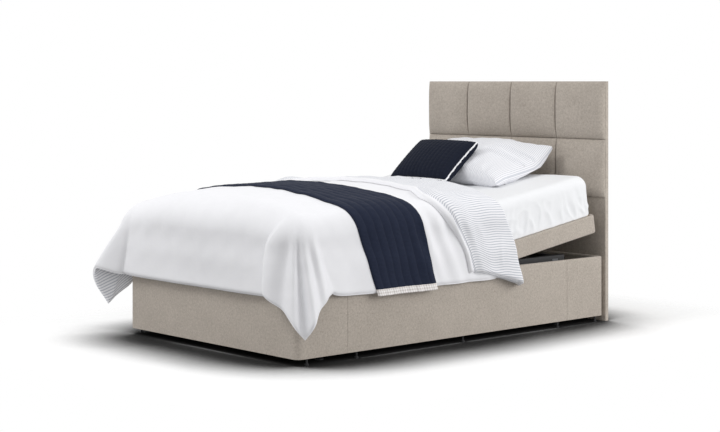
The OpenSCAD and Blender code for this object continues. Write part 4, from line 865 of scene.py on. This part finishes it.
def makePiping():
    # Round cord carried once along the cushion's edge, just in front of its seam.
    t = np.linspace(0, 4, 321)[:-1]
    leg = np.floor(t)
    w = (t - leg) * 2 - 1
    legs = [leg == k for k in range(4)]
    u = np.select(legs, [w, 1 + 0 * w, -w, -1 + 0 * w])
    v = np.select(legs, [-1 + 0 * w, w, 1 + 0 * w, -w])
    x, y, _ = padShape(u, v, cushionForm, cushionForm["crownPower"])
    for size, turnsX, turnsY in cushionForm["wobble"]:
        x = x + size * np.sin(t * turnsX)
        y = y + size * np.sin(t * turnsY)
    line = inFrame(cushionForm, x, y, cushionForm["pipeAhead"] + 0 * x)
    upward = localFrame(cushionForm)[3]
    ahead = np.roll(line, -1, 0) - np.roll(line, 1, 0)
    ahead = ahead / np.linalg.norm(ahead, axis=1, keepdims=True)
    sideways = np.cross(ahead, upward)
    sides = 10
    angle = np.linspace(0, 2 * math.pi, sides + 1)[:-1]
    ring = np.cos(angle)[None, :, None] * sideways[:, None] + np.sin(angle)[None, :, None] * upward
    ring = line[:, None] + cushionForm["pipe"] * ring
    first = np.arange(sides)
    last = (len(line) - 1) * sides + first
    closing = np.stack([last, np.roll(last, -1), np.roll(first, -1), first], -1)
    quads = np.concatenate([gridQuads(len(line), sides, closeColumns=True), closing])
    return meshFrom("cushionPiping", ring, quads[:, ::-1])


pillowCase = makePillow()
settle(pillowCase)
cushionCase = makeCushion()
cushionPiping = makePiping()
print("pillow and cushion made")

# Headboard pads: one crowned, tightly covered pad for each field.
padForm = {
    "columns": 4, "gap": 0.0026, "seam": 0.003, "crownMore": 0.012, "drawIn": 0.011,
    "seamShare": 0.60,       # height of the seam between two pads, as a share of the crown
    "edgePower": 2.8, "sidePower": 6,
    "ripple": 0.0006, "ripplePitch": 0.11, "seed": 70,
}


def makePads(name, node):
    # Crowns that fall as powers towards their edges; between neighbours the seam itself stands forward.
    form, (low, high) = padForm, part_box(node)
    width = (high.x - low.x + form["gap"]) / form["columns"]
    half, tall = (width - form["gap"]) / 2, (high.z - low.z) / 2
    crown = high.y - low.y - form["seam"] + form["crownMore"]
    n = 65
    u, v = np.meshgrid(sineLine(n), sineLine(n))
    upright = np.clip(1 - np.abs(v) ** form["edgePower"], 0, 1) ** 0.5
    level = np.clip(1 - np.abs(u) ** form["sidePower"], 0, 1) ** 0.6
    points, quads, uvs = [], [], []
    for k in range(form["columns"]):
        middle = low.x + width * (k + 0.5) - form["gap"] / 2
        outer = (u < 0) if k == 0 else (u > 0) if k == form["columns"] - 1 else np.zeros_like(u, bool)
        kept = np.where(outer, 0.0, form["seamShare"])
        rise = upright * (kept + (1 - kept) * level)
        ripple = bumps(u * half, v * tall, form["ripple"], form["ripplePitch"], form["seed"] + k) * rise
        x = middle + u * half * (1 - form["drawIn"] * (1 - v ** 2))
        z = (low.z + high.z) / 2 + v * tall
        y = high.y - form["seam"] - crown * rise - ripple
        points += [np.stack([x, y, z], -1), np.stack([x, np.full_like(y, high.y), z], -1)]
        uvs += [np.stack([x, z], -1)] * 2
        quads += sheetQuads(n, n, 2 * n * n * k)
    return meshFrom(name, np.concatenate(points), np.concatenate(quads), np.concatenate(uvs))


padsUpper = makePads("padsUpper", "headboard_pads_upper")
padsLower = makePads("padsLower", "headboard_pads_lower")
print("headboard pads made")


# Materials.
class Wire:
    # A shader socket on which plain arithmetic adds Math nodes.
    def __init__(self, tree, socket):
        self.tree, self.socket = tree, socket

    def math(self, kind, *others):
        return self.tree.node("ShaderNodeMath", {"operation": kind}, [self, *others])

    def held(self):
        # Held between 0 and 1.
        return self.math("MINIMUM", 1.0).math("MAXIMUM", 0.0)

    def __add__(self, other):
        return self.math("ADD", other)

    def __sub__(self, other):
        return self.math("SUBTRACT", other)

    def __mul__(self, other):
        return self.math("MULTIPLY", other)

    def __truediv__(self, other):
        return self.math("DIVIDE", other)

    def __pow__(self, other):
        return self.math("POWER", other)

    def __rsub__(self, other):
        return self.tree.node("ShaderNodeMath", {"operation": "SUBTRACT"}, [other, self])

    __radd__ = __add__
    __rmul__ = __mul__


class Tree:
    # One node tree, and one method that adds any node.
    def __init__(self, nodeTree):
        self.tree = nodeTree

    def node(self, kind, settings, inputs, output=0):
        # Adds a node with its settings and inputs, and gives the wire of one output.
        made = self.tree.nodes.new(kind)
        for key, value in settings.items():
            setattr(made, key, value)
        pairs = inputs.items() if isinstance(inputs, dict) else enumerate(inputs)
        for key, value in pairs:
            if isinstance(value, Wire):
                self.tree.links.new(value.socket, made.inputs[key])
            else:
                made.inputs[key].default_value = value
        return Wire(self, made.outputs[output] if len(made.outputs) else None)

    def ramp(self, value, stops):
        # Colours between stops, over a value.
        made = self.tree.nodes.new("ShaderNodeValToRGB")
        for k, (place, colour) in enumerate(stops):
            stop = made.color_ramp.elements[k] if k < 2 else made.color_ramp.elements.new(place)
            stop.position = place
            stop.color = (*colour, 1)
        self.tree.links.new(value.socket, made.inputs[0])
        return Wire(self, made.outputs[0])

    def blend(self, share, first, second):
        return self.node("ShaderNodeMix", {"data_type": "RGBA"}, {
            0: share, 6: first if isinstance(first, Wire) else (*first, 1),
            7: second if isinstance(second, Wire) else (*second, 1)}, 2)

    def place(self):
        return self.node("ShaderNodeTexCoord", {}, [], 3)

    def clothPlace(self):
        return self.node("ShaderNodeTexCoord", {}, [], 2)

    def split(self, vector):
        # The three parts of a vector.
        made = self.tree.nodes.new("ShaderNodeSeparateXYZ")
        self.tree.links.new(vector.socket, made.inputs[0])
        return [Wire(self, made.outputs[k]) for k in range(3)]

    def noise(self, vector, scale, detail=3.0, rough=0.55):
        return self.node("ShaderNodeTexNoise", {}, {
            "Vector": vector, "Scale": scale, "Detail": detail, "Roughness": rough})

    def bump(self, height, distance, strength=1.0):
        return self.node("ShaderNodeBump", {}, {"Height": height, "Distance": distance, "Strength": strength})

    def seenRays(self):
        # 1 for the camera's, mirrored and see-through rays, 0 for all others.
        path = self.tree.nodes.new("ShaderNodeLightPath")
        camera, glossy, through = [Wire(self, path.outputs["Is " + kind + " Ray"])
                                   for kind in ("Camera", "Glossy", "Transmission")]
        return (camera + glossy + through).math("MINIMUM", 1.0)


class Paint(Tree):
    # One material and its shader.
    def __init__(self, name):
        self.material = bpy.data.materials.new(name)
        self.material.use_nodes = True
        super().__init__(self.material.node_tree)
        self.shader = self.tree.nodes["Principled BSDF"]
        self.output = self.tree.nodes["Material Output"]

    def finish(self, colour=None, roughness=None, normal=None, **fixed):
        # Sets or links the shader's inputs that are given, and gives the material.
        for key, value in fixed.items():
            self.shader.inputs[key.replace("_", " ")].default_value = value
        for key, value in (("Base Color", colour), ("Roughness", roughness), ("Normal", normal)):
            if isinstance(value, Wire):
                self.tree.links.new(value.socket, self.shader.inputs[key])
            elif value is not None:
                self.shader.inputs[key].default_value = (*value, 1) if key == "Base Color" else value
        return self.material


def rgb(*levels):
    # Colour from 0 to 255 as seen, to linear light.
    seen = [level / 255 for level in levels]
    return tuple(c / 12.92 if c <= 0.04045 else ((c + 0.055) / 1.055) ** 2.4 for c in seen)


weaveLook = {"light": rgb(196, 187, 176), "dark": rgb(156, 146, 136),
             "thread": 0.0021, "slub": 105, "contrast": 3.3}


def makeWeave():
    # Crossed threads, fine fibres, thicker slubs and a broad unevenness, all in one tone.
    paint = Paint("oatmealWeave")
    place = paint.place()
    x, y, z = paint.split(place)
    turns = 2 * math.pi / weaveLook["thread"]
    threads = ((x + y) * turns).math("SINE") * (z * turns).math("SINE") * 0.5 + 0.5
    fine = paint.noise(place, 520, 2)
    slub = paint.noise(place, weaveLook["slub"], 4, 0.65)
    broad = paint.noise(place, 9, 2)
    tone = threads * 0.16 + fine * 0.34 + slub * 0.48 + broad * 0.12
    share = ((tone - 0.55) * weaveLook["contrast"] + 0.5).held()
    colour = paint.blend(share, weaveLook["dark"], weaveLook["light"])
    normal = paint.bump(threads * 0.5 + fine * 0.5 + slub * 0.6, 0.0009, 0.7)
    return paint.finish(colour, 0.93, normal, Sheen_Weight=0.12, Sheen_Roughness=0.5)


def makeCotton(name, tone, weave=0.0012, crease=0.0006):
    # Plain weave with soft creases; the colour is painted a little darker where the creases lie lower, as painted
    # shade in their hollows.
    paint = Paint(name)
    place = paint.place()
    x, y, z = paint.split(place)
    turns = 2 * math.pi / weave
    threads = ((x + y) * turns).math("SINE") * ((z + x) * turns).math("SINE") * 0.5 + 0.5
    soft = paint.noise(place, 22, 4, 0.6)
    fine = paint.noise(place, 260, 2)
    # Painted shade: the same noises that sink the bump darken the colour.
    colour = paint.blend(soft * 0.5 + fine * 0.5, tuple(c * 0.93 for c in tone), tone)
    normal = paint.bump(threads * 0.10 + fine * 0.42 + soft * 1.0, crease, 0.8)
    return paint.finish(colour, 0.9, normal, Sheen_Weight=0.08, Sheen_Roughness=0.5)


stripeLook = {"pitch": 0.0130, "casePitch": 0.0098, "share": 0.30,
              "white": rgb(238, 238, 241), "grey": rgb(184, 188, 197)}


def makeStripes(name, band, pitch, crosswise=False, strength=0.75):
    # Stripes that run along the bed, on the piece's own flat map; a plain band at its free edge.
    paint = Paint(name)
    u, v, _ = paint.split(paint.clothPlace())
    wave = ((u if crosswise else v) * (2 * math.pi / pitch)).math("SINE")
    line = ((wave - (1 - 2 * stripeLook["share"])) * 5.0 + 0.5).held()
    if band:
        line = line * ((u - band) * 900.0).held()
    place = paint.place()
    fine = paint.noise(place, 320, 2)
    soft = paint.noise(place, 24, 3)
    colour = paint.blend(line * (strength + 0.25 * fine), stripeLook["white"], stripeLook["grey"])
    normal = paint.bump(fine * 0.25 + soft, 0.0006, 0.7)
    return paint.finish(colour, 0.9, normal, Sheen_Weight=0.08, Sheen_Roughness=0.5)


navyLook = {"light": rgb(38, 45, 65), "dark": rgb(15, 19, 31), "cushionShare": 0.55, "stitch": 0.006}


def makeNavy(name, pitch, share=1.0):
    # Quilted navy cotton: a stitched line in each seam, and a fine crosswise crumple.
    paint = Paint(name)
    lengthwise, crosswise, _ = paint.split(paint.clothPlace())
    seam = ((lengthwise * (math.pi / pitch)).math("SINE").math("ABSOLUTE") * 7.0).math("MINIMUM", 1.0)
    place = paint.place()
    fine = paint.noise(place, 300, 3)
    crumple = paint.noise(place, 60, 3)
    stitch = (crosswise * (2 * math.pi / navyLook["stitch"])).math("SINE") * 0.5 + 0.5
    # Painted shade: the seams and the hollows of the crumple are darker in colour, where the bump sinks.
    tone = fine * 0.35 + crumple * 0.35 + seam * 0.3
    dark, light = [tuple(level * share for level in navyLook[key]) for key in ("dark", "light")]
    normal = paint.bump(fine * 0.3 + crumple * 0.9 + seam * 0.4 + stitch * (1 - seam) * 0.3, 0.0009, 0.8)
    return paint.finish(paint.blend(tone, dark, light), 0.9, normal,
                        Sheen_Weight=0.02, Sheen_Roughness=0.5, Specular_IOR_Level=0.15)


def makeGingham(pitch=0.013):
    # Bars and rungs of one width, darker where they cross.
    paint = Paint("hemGingham")
    u, v, _ = paint.split(paint.clothPlace())
    turns = 2 * math.pi / pitch
    bars = ((u * turns).math("SINE") * 4.0 + 0.5).held()
    rungs = ((v * turns).math("SINE") * 4.0 + 0.5).held()
    fine = paint.noise(paint.place(), 300, 2)
    colour = paint.blend((bars + rungs) * 0.35 + fine * 0.1, rgb(246, 244, 242), rgb(190, 180, 176))
    return paint.finish(colour, 0.9, paint.bump(fine, 0.0004, 0.6))


def makeSteel():
    # Powder coat with a fine orange peel.
    paint = Paint("powderBlack")
    peel = paint.noise(paint.place(), 700, 2)
    colour = paint.blend(paint.noise(paint.place(), 12, 3), rgb(36, 36, 38), rgb(52, 52, 54))
    return paint.finish(colour, peel * 0.12 + 0.42, paint.bump(peel, 0.0002, 0.5), Metallic=0.0)


def makeZinc():
    # Zinc plate with small crystals.
    paint = Paint("zincPlate")
    place = paint.place()
    spangle = paint.node("ShaderNodeTexVoronoi", {}, {"Vector": place, "Scale": 260.0}, 0)
    fine = paint.noise(place, 90, 3)
    colour = paint.blend(spangle * 0.6 + fine * 0.4, rgb(118, 120, 123), rgb(160, 162, 165))
    return paint.finish(colour, fine * 0.2 + 0.28, paint.bump(fine, 0.0001, 0.4), Metallic=1.0)


def makeBoard():
    # Birch ply: grain stretched along the bed's width, with small pores.
    paint = Paint("birchBoard")
    stretched = paint.node("ShaderNodeMapping", {}, {"Vector": paint.place(), "Scale": (1.5, 22.0, 22.0)})
    grain = paint.noise(stretched, 7, 5, 0.6)
    pore = paint.noise(stretched, 60, 2)
    colour = paint.ramp(grain, [(0.3, rgb(178, 146, 104)), (0.62, rgb(212, 184, 142))])
    return paint.finish(colour, grain * 0.15 + 0.55, paint.bump(grain * 0.6 + pore * 0.4, 0.0003, 0.5))


def makePlastic():
    # Moulded black plastic with a fine grain.
    paint = Paint("blackPlastic")
    grain = paint.noise(paint.place(), 900, 2)
    colour = paint.blend(paint.noise(paint.place(), 20, 2), rgb(26, 26, 28), rgb(40, 40, 43))
    return paint.finish(colour, grain * 0.15 + 0.5, paint.bump(grain, 0.0002, 0.5))


weave = makeWeave()
sheetCotton = makeCotton("sheetCotton", rgb(237, 238, 240))
duvetCotton = makeCotton("duvetCotton", rgb(240, 240, 243), 0.0030, 0.0008)
stripedCotton = makeStripes("stripedCotton", 0, stripeLook["pitch"])
foldedCotton = makeStripes("foldedCotton", foldedForm["whiteBand"], stripeLook["pitch"])
caseCotton = makeStripes("caseCotton", 0, stripeLook["casePitch"], True, 0.5)
throwQuilt = makeNavy("throwQuilt", throwForm["width"] / throwForm["channels"])
cushionPitch = cushionForm["size"][0] / cushionForm["channels"]
cushionQuilt = makeNavy("cushionQuilt", cushionPitch, navyLook["cushionShare"])
pipingCotton = makeCotton("pipingCotton", rgb(244, 244, 246))
gingham = makeGingham()
bySlot = {
    "oatmeal_weave": weave, "white_cotton": sheetCotton, "stripe_cotton": caseCotton,
    "navy_quilt": throwQuilt, "black_steel": makeSteel(), "zinc_steel": makeZinc(),
    "birch_board": makeBoard(), "black_plastic": makePlastic(),
}
for part in frame["record"]["subparts"]:
    mesh = nodes[part["node"]].data
    mesh.materials.clear()
    mesh.materials.append(bySlot[part["material_slot"]])
print("materials made")

# Each piece: its slot, its materials, the joint that it bends over or the body that it rides on, how
# full it is padded, and the nodes that it stands for.
bends = {"knee": ("leg", "thigh", kneeHinge), "hip": ("thigh", "base", thighHinge),
         "waist": ("base", "back", backHinge)}
bendHalf = 0.11
duvetSides, throwSides, hemSides = (duvetCotton, stripedCotton), (throwQuilt, throwQuilt), (gingham, gingham)
dressed = [
    (duvetFoot, "white_cotton", duvetSides, "knee", 0.5, ["duvet_foot"]),
    (duvetMiddle, "white_cotton", duvetSides, "hip", 0.5, ["duvet_middle"]),
    (duvetTurndown, "stripe_cotton", (foldedCotton, duvetCotton), "waist", 0.5, ["duvet_turndown"]),
    (duvetUnder, "white_cotton", duvetSides, "waist", 0.5, ["duvet_turndown"]),
    (throwCloth, "navy_quilt", throwSides, "knee", None, ["throw"]),
    (throwHemNear, "stripe_cotton", hemSides, "knee", None, []),
    (throwHemFar, "stripe_cotton", hemSides, "knee", None, []),
    (mattressFoot, "white_cotton", (sheetCotton,), "knee", 0.95, ["mattress_leg", "mattress_thigh"]),
    (mattressMiddle, "white_cotton", (sheetCotton,), "hip", 0.95, ["mattress_seat", "mattress_thigh_bend"]),
    (mattressHead, "white_cotton", (sheetCotton,), "waist", 0.95, ["mattress_back", "mattress_back_bend"]),
    (pillowCase, "stripe_cotton", (caseCotton,), "back", 0.7, ["pillow"]),
    (cushionCase, "navy_quilt", (cushionQuilt,), "back", 0.8, ["cushion"]),
    (cushionPiping, "white_cotton", (pipingCotton,), "back", None, []),
    (padsUpper, "oatmeal_weave", (weave,), "base", 0.9, ["headboard_pads_upper"]),
    (padsLower, "oatmeal_weave", (weave,), "base", 0.9, ["headboard_pads_lower"]),
]
for piece, _, kinds, joint, _, standsFor in dressed:
    for kind in kinds:
        piece.data.materials.append(kind)
    if standsFor:
        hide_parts(*standsFor)
    if joint in bends:
        foot, head, (_, hingeY, hingeZ) = bends[joint]
        hingeY - bendHalf
        hingeY + bendHalf
        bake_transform(piece)
    else:
        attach(piece, joint)
print("pieces ride on their bodies")

# Floor, light and background.
studio = {
    "keyPower": 110, "keyPlace": (4.6, 1.3, 1.9), "keySize": 2.6,
    "topPower": 2, "topPlace": (-0.6, -1.2, 4.6), "topSize": 4.5,
    "footPower": 98, "footPlace": (-1.2, -4.9, 4.3), "footSize": 2.2,
    "target": (0, -1.0, 0.4),
    "worldLevel": 0.75, "floorTone": 0.42, "floorHalf": 40,
    "fadeStart": 0.30, "fadeLength": 0.55,         # beyond the box, how soon the floor turns white
    "boxHalf": (0.62, 1.02),
    "shadowReach": 0.52, "shadowDepth": 0.97, "shadowSamples": 24,
    "openFrom": 0.60, "openSpan": 0.34, "openPower": 1.1,    # share of open sky where the shadow ends
    "floorWhite": 0.99,
}
corner = studio["floorHalf"]
floor = meshFrom("studioFloor", [(-corner, -corner, 0), (corner, -corner, 0), (corner, corner, 0),
                                 (-corner, corner, 0)], [(0, 1, 2, 3)])
paint = Paint("paleFloor")
shown = paint.seenRays()
grain = paint.noise(paint.place(), 3, 2)
# Painted contact shadow: the share of the sky that the bed hides darkens the floor's colour for the camera, on top
# of the lamps' real shadow.
sky = paint.node("ShaderNodeAmbientOcclusion", {"samples": studio["shadowSamples"]},
                 {"Distance": studio["shadowReach"]}, "AO")
clear = ((sky - studio["openFrom"]) / studio["openSpan"]).held()
paintedShadowFloor = paint.blend(clear ** studio["openPower"], (studio["floorWhite"] * (1 - studio["shadowDepth"]),) * 3,
                  (studio["floorWhite"],) * 3)
paint.finish(paint.blend(shown, (studio["floorTone"],) * 3, paintedShadowFloor), grain * 0.1 + 0.85, Specular_IOR_Level=0.0)
floor.data.materials.append(paint.material)
# Beyond the shadow the floor fades into the white surroundings for the camera.
x, y, _ = paint.split(paint.place())
awayX = (x.math("ABSOLUTE") - studio["boxHalf"][0]).math("MAXIMUM", 0.0)
awayY = ((y + studio["boxHalf"][1]).math("ABSOLUTE") - studio["boxHalf"][1]).math("MAXIMUM", 0.0)
away = (awayX * awayX + awayY * awayY).math("SQRT")
fade = ((away - studio["fadeStart"]) / studio["fadeLength"]).held()
gone = paint.node("ShaderNodeBsdfTransparent", {}, [])
mixed = paint.node("ShaderNodeMixShader", {}, [fade * shown, Wire(paint, paint.shader.outputs[0]), gone])
paint.tree.links.new(mixed.socket, paint.output.inputs["Surface"])

world = bpy.data.worlds.new("studioWorld")
bpy.context.scene.world = world
world.use_nodes = True
world.node_tree.nodes.clear()
air = Tree(world.node_tree)
plain, bright = [air.node("ShaderNodeBackground", {}, {"Color": (1, 1, 1, 1), "Strength": level})
                 for level in (studio["worldLevel"], 1.0)]
mixed = air.node("ShaderNodeMixShader", {}, [air.seenRays(), plain, bright])
air.node("ShaderNodeOutputWorld", {}, {"Surface": mixed})

for kind in ("key", "top", "foot"):
    data = bpy.data.lights.new(kind + "Lamp", "AREA")
    data.shape = "DISK"
    data.size = studio[kind + "Size"]
    data.energy = studio[kind + "Power"]
    lamp = bpy.data.objects.new(kind + "Lamp", data)
    lamp.location = studio[kind + "Place"]
    aim = Vector(studio["target"]) - Vector(studio[kind + "Place"])
    lamp.rotation_euler = aim.to_track_quat("-Z", "Y").to_euler()
    bpy.context.scene.collection.objects.link(lamp)
bpy.context.scene.view_settings.view_transform = "Standard"
print("floor and light made")
